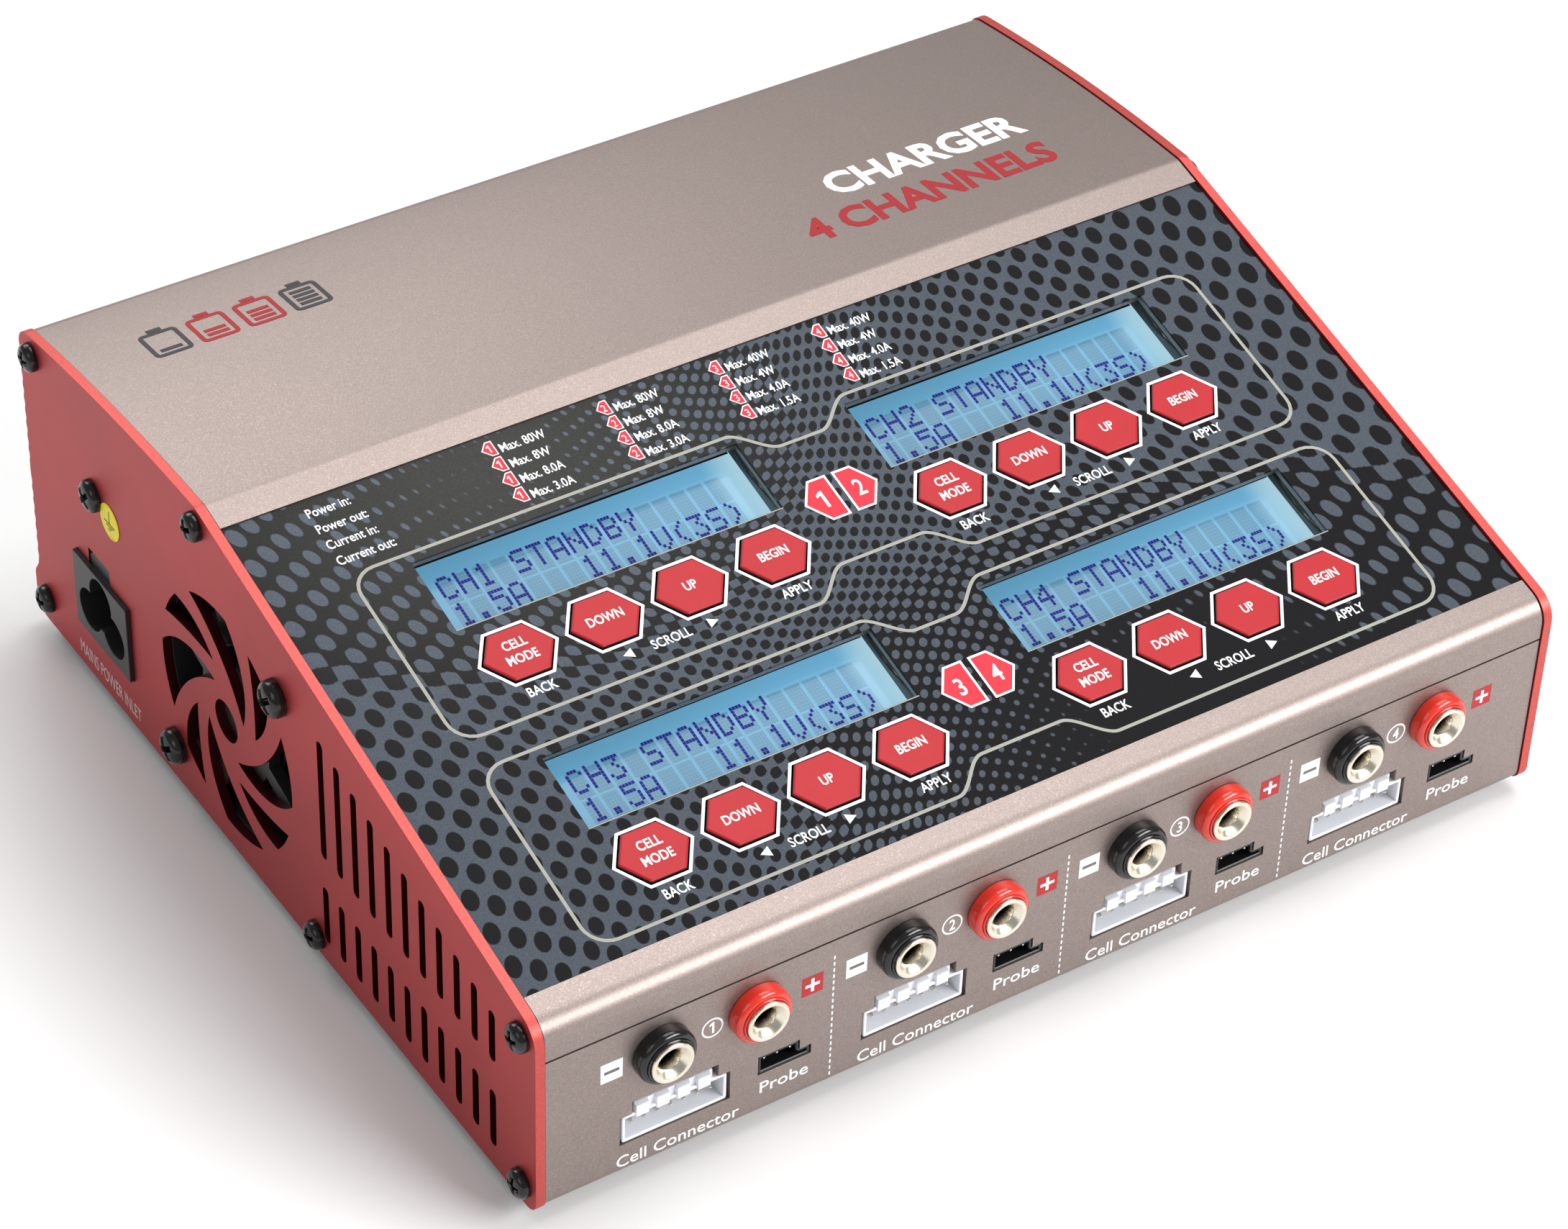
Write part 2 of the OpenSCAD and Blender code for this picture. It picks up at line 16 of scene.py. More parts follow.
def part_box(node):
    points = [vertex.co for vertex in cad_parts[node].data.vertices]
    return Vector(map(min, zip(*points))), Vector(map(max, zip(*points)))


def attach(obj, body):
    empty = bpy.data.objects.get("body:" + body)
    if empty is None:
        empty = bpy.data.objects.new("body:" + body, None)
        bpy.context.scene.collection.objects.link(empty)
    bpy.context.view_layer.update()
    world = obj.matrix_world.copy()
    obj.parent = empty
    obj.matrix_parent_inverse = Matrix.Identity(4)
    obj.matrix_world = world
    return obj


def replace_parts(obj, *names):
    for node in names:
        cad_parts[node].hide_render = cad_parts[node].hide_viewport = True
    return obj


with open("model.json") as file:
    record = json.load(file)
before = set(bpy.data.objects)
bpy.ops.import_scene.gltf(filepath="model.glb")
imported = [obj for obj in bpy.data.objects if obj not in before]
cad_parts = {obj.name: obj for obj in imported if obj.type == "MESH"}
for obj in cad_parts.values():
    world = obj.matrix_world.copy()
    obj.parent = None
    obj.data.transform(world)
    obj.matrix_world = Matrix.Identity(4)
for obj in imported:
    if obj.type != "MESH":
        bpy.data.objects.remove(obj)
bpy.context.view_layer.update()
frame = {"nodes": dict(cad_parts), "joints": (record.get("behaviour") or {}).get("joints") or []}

bl_info = {
    "name": "Balance charger finish",
    "version": (1, 0, 0),
    "blender": (4, 5, 0),
    "location": "3D View > Sidebar > Charger",
    "description": "Finishes, printed marks, displays and stage for a four-channel balance charger",
    "category": "Object",
}

MM = 0.001
NODES = frame["nodes"]
CASE = "case"
CHANNELS = (1, 2, 3, 4)
KEY_KINDS = ("stop", "minus", "plus", "start")

# ---- Faces of the case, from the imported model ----


def face_matrix(origin, right, up):
    """Matrix of a face seen from outside: x to the right, y up, z out of it."""
    right, up = Vector(right), Vector(up)
    turn = Matrix((right, up, right.cross(up))).transposed().to_4x4()
    return Matrix.Translation(origin) @ turn


def corners(points):
    """Lowest and highest corner of some points."""
    points = list(points)
    return tuple(Vector(pick(p[axis] for p in points) for axis in range(3)) for pick in (min, max))


def local_box(node, face):
    """Lowest and highest corner of a node in a face's coordinates, in millimetres."""
    inverse = face.inverted()
    return corners(inverse @ vertex.co / MM for vertex in NODES[node].data.vertices)


def centre_of(node, face):
    low, high = local_box(node, face)
    return (low + high) / 2


PRESS_AXIS = next(j["axis"] for j in frame["joints"] if j["name"] == "stop_key_1_press")
TILT = math.atan2(PRESS_AXIS[1], -PRESS_AXIS[2])
FILM_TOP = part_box("keypad_overlay")[1]
FILM_T = 0.5 * MM
PANEL_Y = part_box("lower_shell")[0].y
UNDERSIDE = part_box("rubber_feet")[1].z
DECK_MIDDLE = 112 * MM
CROWN_R = 441 * MM

KEYPAD = face_matrix((0, FILM_TOP.y - FILM_T * math.sin(TILT), FILM_TOP.z),
                     (1, 0, 0), (0, math.cos(TILT), math.sin(TILT)))
PANEL = face_matrix((0, PANEL_Y, UNDERSIDE), (1, 0, 0), (0, 0, 1))
LEFT = face_matrix((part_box("left_plate")[0].x, PANEL_Y, UNDERSIDE), (0, -1, 0), (0, 0, 1))
RIGHT = face_matrix((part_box("right_plate")[1].x, PANEL_Y, UNDERSIDE), (0, 1, 0), (0, 0, 1))
DECK = face_matrix((0, PANEL_Y + DECK_MIDDLE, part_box("upper_shell")[1].z), (1, 0, 0), (0, 1, 0))

# Middle of each channel's number, in millimetres along the socket panel, and the jacks' height
NUMBER_DX = 0.55
CHANNEL_X = {c: (centre_of(f"black_jack_{c}", PANEL).x + centre_of(f"red_jack_{c}", PANEL).x) / 2 + NUMBER_DX
             for c in CHANNELS}
JACK_Z = centre_of("black_jack_1", PANEL).y

# Displays, in millimetres on the keypad face: middle from its foot, side and top of the glass
DISPLAY_T = {c: local_box(f"lcd_frame_{c}", KEYPAD)[0].y + 9.7 for c in CHANNELS}
DISPLAY_X = centre_of("lcd_frame_2", KEYPAD).x
GLASS_TOP = local_box("lcd_glass_1", KEYPAD)[1].z


def side_of(channel):
    """-1 for a channel of the left column, 1 for one of the right column."""
    return -1 if channel % 2 else 1


# ---- Sizes and colours a user would change ----


def colour(name, description, value):
    return FloatVectorProperty(name=name, description=description, default=value, subtype="COLOR",
                               size=3, min=0, max=1)


def length(name, description, value):
    return FloatProperty(name=name, description=description, default=value * MM, unit="LENGTH",
                         min=0, precision=5)


def power(name, description, value):
    return FloatProperty(name=name, description=description, default=value, unit="POWER")


class ChargerSizes(bpy.types.PropertyGroup):
    """Sizes of the edges and of the printed marks."""

    sheet_edge: length("Sheet edge", "Rounding of the shells' cut edges", 0.25)
    plate_edge: length("Plate edge", "Chamfer of the end plates", 0.3)
    moulded_edge: length("Moulded edge", "Rounding of moulded plastic", 0.25)
    key_edge: length("Key edge", "Rounding of the key caps", 0.22)
    fine_edge: length("Fine edge", "Rounding of small metal pieces", 0.08)
    ink: length("Ink", "Thickness of the printed marks", 0.03)
    outline: length("Outline", "Width of the grey lines round the channels", 0.62)
    key_outline: length("Key outline", "Width of the white line round a key", 0.55)


class ChargerColours(bpy.types.PropertyGroup):
    """Colours of the finishes, as linear light."""

    shell: colour("Shell", "Champagne coat of the shells", (0.288, 0.236, 0.217))
    plate: colour("Plate", "Red anodised end plates", (0.42, 0.036, 0.038))
    key: colour("Key", "Red key caps", (0.42, 0.009, 0.015))
    film_dark: colour("Film dark", "Dark ground of the keypad film", (0.007, 0.007, 0.008))
    film_light: colour("Film light", "Blue-grey ground of the keypad film", (0.066, 0.078, 0.096))
    line: colour("Line", "Grey lines of the keypad", (0.34, 0.34, 0.30))
    white_ink: colour("White ink", "White printed marks", (0.86, 0.87, 0.88))
    red_ink: colour("Red ink", "Red printed marks", (0.70, 0.03, 0.05))
    backlight: colour("Backlight", "Sky blue of the displays", (0.135, 0.375, 0.575))
    dots: colour("Dots", "Navy dots of the displays", (0.006, 0.006, 0.19))


class ChargerStage(bpy.types.PropertyGroup):
    """Camera and lights."""

    camera_place: FloatVectorProperty(name="Camera", description="Place of the camera", size=3,
                                      default=(-0.36556, -0.53721, 0.55391), subtype="TRANSLATION")
    camera_turn: FloatVectorProperty(name="Turn", description="Turn of the camera", size=3, subtype="EULER",
                                     default=(math.radians(50.702), math.radians(-1.664),
                                              math.radians(-32.945)))
    focal: FloatProperty(name="Focal length", description="Focal length in millimetres", default=107.41)
    key_power: power("Key light", "Power of the large light in front", 17.0)
    back_power: power("Back light", "Power of the light behind the charger", 6.1)
    fill_power: power("Fill light", "Power of the light at the left", 2.8)


# ---- Shader building ----


def math_pair(operation):
    """The two forms of an operator of Value: value with other, and other with value."""
    def plain(self, other):
        return self.apply(operation, other)

    def reflected(self, other):
        return self.finish.node("ShaderNodeMath", {"operation": operation}, {0: other, 1: self})

    return plain, reflected


class Value:
    """A socket of a material. Sums, products and comparisons of values add their Math nodes."""

    def __init__(self, finish, socket):
        self.finish = finish
        self.socket = socket

    __add__, __radd__ = math_pair("ADD")
    __sub__, __rsub__ = math_pair("SUBTRACT")
    __mul__, __rmul__ = math_pair("MULTIPLY")
    __truediv__, __rtruediv__ = math_pair("DIVIDE")
    __gt__ = math_pair("GREATER_THAN")[0]
    __lt__ = math_pair("LESS_THAN")[0]

    def __abs__(self):
        return self.apply("ABSOLUTE")

    def apply(self, operation, *others):
        """Any Math node whose first operand is this value, such as SINE or FRACT."""
        return self.finish.node("ShaderNodeMath", {"operation": operation}, dict(enumerate((self, *others))))

    def ramp(self, low, high, start=0.0, end=1.0):
        """Smooth step: start below low, end above high."""
        return self.finish.node("ShaderNodeMapRange", {"interpolation_type": "SMOOTHSTEP", "clamp": True},
                                {"Value": self, "From Min": low, "From Max": high,
                                 "To Min": start, "To Max": end})


class Finish:
    """A material with one Principled shader. Constants are set on its sockets."""

    def __init__(self, name, **constants):
        self.material = bpy.data.materials.new(name)
        self.material.use_nodes = True
        self.tree = self.material.node_tree
        self.shader = self.tree.nodes["Principled BSDF"]
        for socket, value in constants.items():
            self.set(socket.replace("_", " "), value)

    def set(self, socket, value):
        """Sets or links one of the shader's sockets."""
        self._put(self.shader.inputs[socket], value)

    def _put(self, socket, value):
        if isinstance(value, Value):
            self.tree.links.new(value.socket, socket)
        elif socket.type == "RGBA" and len(value) == 3:
            socket.default_value = (*value, 1)
        else:
            socket.default_value = value

    def node(self, kind, settings, sockets, output=0):
        """Adds a node: its settings first, then the values or links of its sockets."""
        made = configured(self.tree.nodes.new(kind), **settings)
        for name, value in sockets.items():
            self._put(made.inputs[name], value)
        return Value(self, made.outputs[output])

    def place(self):
        """Coordinates of the piece, in metres, in the frame of the charger."""
        return self.node("ShaderNodeTexCoord", {}, {}, "Object")

    def dot(self, first, second):
        """Dot product of two vectors."""
        return self.node("ShaderNodeVectorMath", {"operation": "DOT_PRODUCT"}, {0: first, 1: second}, "Value")

    def along(self, face):
        """Coordinates on a face, in millimetres: to the right, up and out."""
        place = self.node("ShaderNodeVectorMath", {"operation": "SUBTRACT"},
                          {0: self.place(), 1: face.translation})
        return [self.dot(place, axis / MM) for axis in face.to_3x3().transposed()]

    def noise(self, grain, detail=2.0, roughness=0.5):
        """Noise from 0 to 1 whose grain is that many millimetres wide."""
        return self.node("ShaderNodeTexNoise", {},
                         {"Vector": self.place(), "Scale": 1 / (grain * MM), "Detail": detail,
                          "Roughness": roughness}, "Fac")

    def flakes(self, grain):
        """A random value from 0 to 1 for each cell that many millimetres wide."""
        tint = self.node("ShaderNodeTexVoronoi", {"feature": "F1"},
                         {"Vector": self.place(), "Scale": 1 / (grain * MM)}, "Color")
        return self.node("ShaderNodeSeparateColor", {}, {0: tint}, 0)

    def mix(self, share, first, second):
        """Colour between first and second, by a share from 0 to 1."""
        return self.node("ShaderNodeMix", {"data_type": "RGBA"}, {0: share, 6: first, 7: second}, 2)

    def brighten(self, tint, factor):
        """Colour times a value."""
        return self.node("ShaderNodeVectorMath", {"operation": "SCALE"}, {0: tint, "Scale": factor})

    def bump(self, height, depth, strength):
        """Feeds Normal with a height from 0 to 1 that is depth millimetres deep."""
        self.set("Normal", self.node("ShaderNodeBump", {},
                                     {"Height": height, "Distance": depth * MM, "Strength": strength}))


def configured(thing, **settings):
    """The thing, with some of its settings changed."""
    for name, value in settings.items():
        setattr(thing, name, value)
    return thing


def shade(tone, factor):
    return tuple(min(1.0, part * factor) for part in tone)


# ---- Finishes ----


def shell_coat(name, tone):
    """Champagne coat with fine metal flakes and a slight orange peel."""
    coat = Finish(name, Metallic=0.86)
    flakes = coat.flakes(0.13)
    speckle = coat.noise(0.30, detail=3)
    spark = flakes.ramp(0.86, 1.0)
    body = coat.mix(speckle.ramp(0.35, 0.65), shade(tone, 0.91), shade(tone, 1.07))
    coat.set("Base Color", coat.mix(spark * 0.45, body, shade(tone, 1.6)))
    coat.set("Roughness", 0.40 - spark * 0.12 + speckle * 0.06)
    coat.bump(flakes * 0.4 + speckle * 0.6, 0.008, 0.5)
    return coat.material


PLATE_ENDS = [corner.y for corner in local_box("left_plate", DECK)]
PLATE_MIDDLE = sum(PLATE_ENDS) / 2
PLATE_REACH = (PLATE_ENDS[1] - PLATE_ENDS[0]) / 2 - 0.8


def plate_anodised(name, tone):
    """Red anodised sheet, satin, with faint clouding; its milled outer edges are paler with a painted
    highlight, and the walls of its cut-outs carry painted shade.
    """
    plate = Finish(name, Metallic=0.72)
    grain = plate.noise(0.25, detail=3)
    cloud = plate.noise(24, detail=3)
    normal = plate.node("ShaderNodeNewGeometry", {}, {}, "True Normal")
    facing = abs(plate.dot(normal, (1, 0, 0)))
    _, _, over_film = plate.along(KEYPAD)
    _, ahead, over_deck = plate.along(DECK)
    border = (over_film > -2.2).apply("MAXIMUM", over_deck > -6.0)
    border = border.apply("MAXIMUM", abs(ahead - PLATE_MIDDLE) > PLATE_REACH)
    edge_on = facing.ramp(0.5, 0.9, 1.0, 0.0)
    face = plate.mix(cloud.ramp(0.3, 0.7) * 0.6 + grain * 0.4, shade(tone, 0.86), shade(tone, 1.12))
    # Painted highlight: the edge-on faces along the outer border take a paler, brighter red, partly the milled
    # edge and partly a painted highlight.
    edge = plate.mix(grain, (0.40, 0.040, 0.038), (0.66, 0.125, 0.105))
    # Painted shade: edge-on faces away from the outer border, the walls of the cut-outs, are darkened almost
    # to black.
    face = plate.mix(edge_on * (1 - border), face, shade(tone, 0.16))
    plate.set("Base Color", plate.mix(edge_on * border, face, edge))
    plate.set("Roughness", 0.36 + grain * 0.10 + cloud * 0.05)
    plate.bump(grain, 0.006, 0.5)
    return plate.material


# The film's lattice of dots, in millimetres: its middle, the half-width over which the columns start
# to spread, the columns in it, the same for the rows, their pitch and the swell that lifts them
LATTICE_X = 12.0
LATTICE_W = 60.0
LATTICE_COLUMNS = 31.6
LATTICE_FAN = 42.0
LATTICE_ROW = 1.5
LATTICE_TOP = 48.0
SWELL, SWELL_LENGTH, SWELL_X = 8.0, 22.0, 5.0
# Middle and radii of the two places where light dots on a dark ground take over
SHADED_CORNER = (-55.0, -6.0), (48.0, 36.0)
SHADED_FOOT = (34.0, -97.0), (62.0, 34.0)


def keypad_film(name, dark, light):
    """Printed film: halftone dots on a lattice that widens towards the ends."""
    film = Finish(name, Specular_IOR_Level=0.07)
    x, t, _ = film.along(KEYPAD)
    across = (x + LATTICE_X) / LATTICE_W
    reach = (across * across + 1.0).apply("SQRT")
    column = (across + reach).apply("LOGARITHM", math.e) * LATTICE_COLUMNS
    fan = (x + LATTICE_X) / LATTICE_FAN
    row_pitch = (fan * fan + 1.0).apply("SQRT") * LATTICE_ROW
    swell = ((x + SWELL_X) / SWELL_LENGTH).apply("SINE") * SWELL
    row = (t + LATTICE_TOP - swell) / row_pitch
    first, second = (column + row) / 2, (column - row) / 2
    dark_dots = dot_distance(first, second)
    light_dots = dot_distance(first + 0.5, second + 0.5)
    shaded_corner = hill(x, t, *SHADED_CORNER)
    depth = shaded_corner * 1.15 + hill(x, t, *SHADED_FOOT) * 1.30
    lattice = (column * math.pi).apply("COSINE") * (row * math.pi).apply("COSINE")
    around = dark_dots.ramp(0.26, 0.34) * (lattice - depth * 2.2).ramp(-0.68, -0.56)
    lone = (0.30 - abs(depth - 0.50) * 0.46 - light_dots).ramp(-0.03, 0.05)
    dot = around.apply("MAXIMUM", lone)
    grain = film.noise(0.27, detail=3, roughness=0.75)
    # Towards the upper-left corner the ground and the light dots are lighter.
    ground = film.mix(shaded_corner, dark, (0.045, 0.045, 0.042))
    light = film.mix(shaded_corner, light, shade(light, 1.5))
    film.set("Base Color", film.brighten(film.mix(dot, ground, light), 0.30 + grain * 1.4))
    film.set("Roughness", 0.36 + grain * 0.14)
    film.bump(grain, 0.06, 0.8)
    return film.material


def hill(x, y, centre, radii):
    """Bell from 1 at the centre to 0."""
    across = (x - centre[0]) / radii[0]
    along = (y - centre[1]) / radii[1]
    return ((across * across + along * along) * -1.0).apply("EXPONENT")


def dot_distance(first, second):
    """Squared distance to the nearest dot of a staggered lattice, for dots taller than they are wide."""
    first = first.apply("FRACT") - 0.5
    second = second.apply("FRACT") - 0.5
    across = first + second
    along = first - second
    return across * across * 1.5 + along * along * 0.85


def key_plastic(name, tone):
    """Satin red cap with a fine moulded grain; its sides, down in the film's opening, carry painted shade in
    near black.
    """
    cap = Finish(name, Specular_IOR_Level=0.28)
    _, _, out = cap.along(KEYPAD)
    grain = cap.noise(0.3, detail=2)
    cloud = cap.noise(6, detail=2)
    face = cap.mix(cloud, shade(tone, 0.90), shade(tone, 1.08))
    # Painted shade: below the top of the cap the red turns near black, for the dark gap in the film's opening.
    cap.set("Base Color", cap.mix(out.ramp(0.26, 0.44), (0.006, 0.004, 0.004), face))
    cap.set("Roughness", 0.36 + grain * 0.12)
    cap.bump(grain, 0.008, 0.5)
    return cap.material


def ink(name, tone, roughness=0.5):
    """Printed ink with a slightly uneven film."""
    paint = Finish(name, Specular_IOR_Level=0.25)
    patchy = paint.noise(0.5, detail=2)
    paint.set("Base Color", paint.mix(patchy, shade(tone, 0.90), shade(tone, 1.04)))
    paint.set("Roughness", roughness + patchy * 0.1)
    return paint.material


def moulded(name, tone, roughness, **constants):
    """Moulded plastic with a fine grain."""
    part = Finish(name, **constants)
    return grained(part, tone, roughness - 0.04, grain=0.4, detail=3, patch=10, spread=(0.88, 1.10),
                   swing=0.08, depth=0.01, strength=0.5)


def metal(name, tone, roughness):
    """Bare metal with fine marks."""
    part = Finish(name, Metallic=1.0)
    return grained(part, tone, roughness - 0.05, grain=0.2, detail=4, patch=6, spread=(0.90, 1.06),
                   swing=0.12, depth=0.003, strength=0.4)


def grained(part, tone, roughness, grain, detail, patch, spread, swing, depth, strength):
    """Gives a finish clouded colour, uneven gloss and a fine relief; grain and patch are in millimetres."""
    marks = part.noise(grain, detail=detail)
    cloud = part.noise(patch, detail=2)
    part.set("Base Color", part.mix(cloud, *(shade(tone, factor) for factor in spread)))
    part.set("Roughness", roughness + marks * swing)
    part.bump(marks, depth, strength)
    return part.material


def display_glass(name, tone):
    """Backlit display: faint character cells, brighter towards the lamp at the right end."""
    glass = Finish(name, Roughness=0.18, Specular_IOR_Level=0.3, Emission_Strength=0.78)
    x, t, _ = glass.along(KEYPAD)
    across = (abs(x) - DISPLAY_X) * ((x > 0) * 2 - 1)
    upper = t > (DISPLAY_T[1] + DISPLAY_T[3]) / 2
    along = t - (upper * (DISPLAY_T[1] - DISPLAY_T[3]) + DISPLAY_T[3])
    from_left, from_foot = across + LINE_HALF, along + CELL_ROW
    inside = (abs(across) < LINE_HALF) * (abs(along) < CELL_ROW)
    cell = (((from_left / CELL_PITCH).apply("FRACT") < CELL_W / CELL_PITCH)
            * ((from_foot / CELL_ROW).apply("FRACT") < CELL_H / CELL_ROW))
    dots_x = (from_left / DOT_X * math.pi).apply("SINE")
    dots_y = (from_foot / DOT_Y * math.pi).apply("SINE")
    weave = (dots_x * dots_x * dots_y * dots_y) * 0.22 + 0.78
    lamp = across.ramp(25.0, 33.5)
    wide_lamp = across.ramp(-30.0, 34.0)
    ground = glass.mix(wide_lamp, shade(tone, 0.94), shade(tone, 1.14))
    ground = glass.mix(inside * cell * (1.0 - lamp * 0.5), ground, glass.brighten(ground, weave * 0.86))
    glow = glass.mix(lamp, ground, (0.50, 0.78, 0.90))
    glass.set("Base Color", glass.brighten(glow, 0.20))
    glass.set("Emission Color", glow)
    return glass.material


# ---- Mesh building ----


def finish_node(node, finish, edge=0.0):
    """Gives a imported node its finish, and rounds its edges with modifiers."""
    piece = NODES[node]
    piece.data.materials.clear()
    piece.data.materials.append(finish)
    for slot in piece.material_slots:
        slot.link = "DATA"
    add = piece.modifiers.new
    configured(add("weld", "WELD"), merge_threshold=0.002 * MM)
    if edge:
        configured(add("flat", "DECIMATE"), decimate_type="DISSOLVE", angle_limit=math.radians(0.2))
        configured(add("edge", "BEVEL"), width=edge, segments=2, limit_method="ANGLE",
                   angle_limit=math.radians(34), use_clamp_overlap=True, miter_outer="MITER_SHARP")
    configured(add("normals", "WEIGHTED_NORMAL"), mode="FACE_AREA", weight=50, keep_sharp=False)


def mitre(before, point, after):
    """Direction across a line at a corner, and how much of an offset it keeps."""
    first = Vector(point) - Vector(before)
    second = Vector(after) - Vector(point)
    first = (first if first.length else second).normalized()
    second = (second if second.length else first).normalized()
    normal = Vector((-first.y - second.y, first.x + second.x)).normalized()
    return normal, normal.dot(Vector((-first.y, first.x)))


def inset(outline, distance):
    """Outline moved inwards, counter-clockwise, with mitred corners."""
    moved = []
    for i, point in enumerate(outline):
        normal, share = mitre(outline[i - 1], point, outline[(i + 1) % len(outline)])
        moved.append(Vector(point) + normal * distance / share)
    return moved


def rounded(outline, radius):
    """Outline whose corners are rounded."""
    points = []
    for i, point in enumerate(outline):
        corner = Vector(point)
        start = corner + (Vector(outline[i - 1]) - corner).normalized() * radius
        end = corner + (Vector(outline[(i + 1) % len(outline)]) - corner).normalized() * radius
        for share in (0, 0.25, 0.5, 0.75, 1):
            points.append(start * (1 - share) ** 2 + corner * 2 * share * (1 - share) + end * share ** 2)
    return points


def rectangle(left, foot, right, top):
    """Corners of a rectangle, counter-clockwise."""
    return [(left, foot), (right, foot), (right, top), (left, top)]


def square(x, y, half):
    return rectangle(x - half, y - half, x + half, y + half)


class Gathered:
    """Closed shapes made in a face's coordinates and gathered into one piece."""

    def __init__(self, face):
        self.face = face
        self.mesh = bmesh.new()

    def piece(self, name, slot, finishes, body=CASE, smooth=0):
        """Links the shapes as a piece that rides on a body, smooth up to an angle in degrees."""
        bmesh.ops.recalc_face_normals(self.mesh, faces=self.mesh.faces)
        mesh = bpy.data.meshes.new(name)
        self.mesh.to_mesh(mesh)
        self.mesh.free()
        if smooth:
            for polygon in mesh.polygons:
                polygon.use_smooth = True
            mesh.set_sharp_from_angle(angle=math.radians(smooth))
        piece = bpy.data.objects.new(name, mesh)
        bpy.context.scene.collection.objects.link(piece)
        for finish in finishes:
            mesh.materials.append(finish)
        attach(piece, body)
        return piece


class Solid(Gathered):
    """Moulded and turned shapes, in millimetres."""

    def ring(self, points, out):
        return [self.mesh.verts.new(self.face @ Vector((x * MM, y * MM, out * MM))) for x, y in points]

    def stack(self, rings, closed=False):
        """Side faces between rings of as many points, then its two ends or the way back to the first."""
        pairs = zip(rings, rings[1:] + rings[:1]) if closed else zip(rings, rings[1:])
        for lower, upper in pairs:
            for i in range(len(lower)):
                self.mesh.faces.new((lower[i - 1], lower[i], upper[i], upper[i - 1]))
        if not closed:
            self.mesh.faces.new(rings[0][::-1])
            self.mesh.faces.new(rings[-1])

    def block(self, outline, low, high, taper):
        """Prism between two heights, its upper end drawn in by the taper."""
        self.stack([self.ring(outline, low), self.ring(inset(outline, taper), high)])

    def tray(self, outline, wall, back, front, floor):
        """Open box: a rim of that wall at the front, a floor inside and a closed back."""
        inner, edge = inset(outline, wall), 0.12
        self.stack([self.ring(outline, back), self.ring(outline, front - edge),
                    self.ring(inset(outline, edge), front), self.ring(inset(outline, wall - edge), front),
                    self.ring(inner, front - edge), self.ring(inner, floor)])

    def lathe(self, centre, profile, segments=72):
        """Turned ring: the profile's points (radius, out) go round it and it closes."""
        self.stack([self.ring(circle(centre, r, segments), out) for r, out in profile], closed=True)

    def piece(self, name, slot, finishes, smooth=0):
        bmesh.ops.remove_doubles(self.mesh, verts=self.mesh.verts, dist=0.0004 * MM)
        bmesh.ops.dissolve_degenerate(self.mesh, edges=self.mesh.edges, dist=0.0002 * MM)
        return super().piece(name, slot, finishes, smooth=smooth)


def circle(centre, radius, count):
    turns = (2 * math.pi * i / count for i in range(count))
    return [(centre[0] + radius * math.cos(turn), centre[1] + radius * math.sin(turn)) for turn in turns]


def loose_boxes(node, face):
    """Boxes of a node's loose parts in a face's coordinates, in millimetres."""
    part = bmesh.new()
    part.from_mesh(NODES[node].data)
    bmesh.ops.remove_doubles(part, verts=part.verts, dist=0.002 * MM)
    inverse, seen, boxes = face.inverted(), set(), []
    for start in part.verts:
        if start in seen:
            continue
        seen.add(start)
        group = [start]
        for vertex in group:
            fresh = {edge.other_vert(vertex) for edge in vertex.link_edges} - seen
            seen |= fresh
            group += fresh
        boxes.append(corners(inverse @ vertex.co / MM for vertex in group))
    part.free()
    return boxes


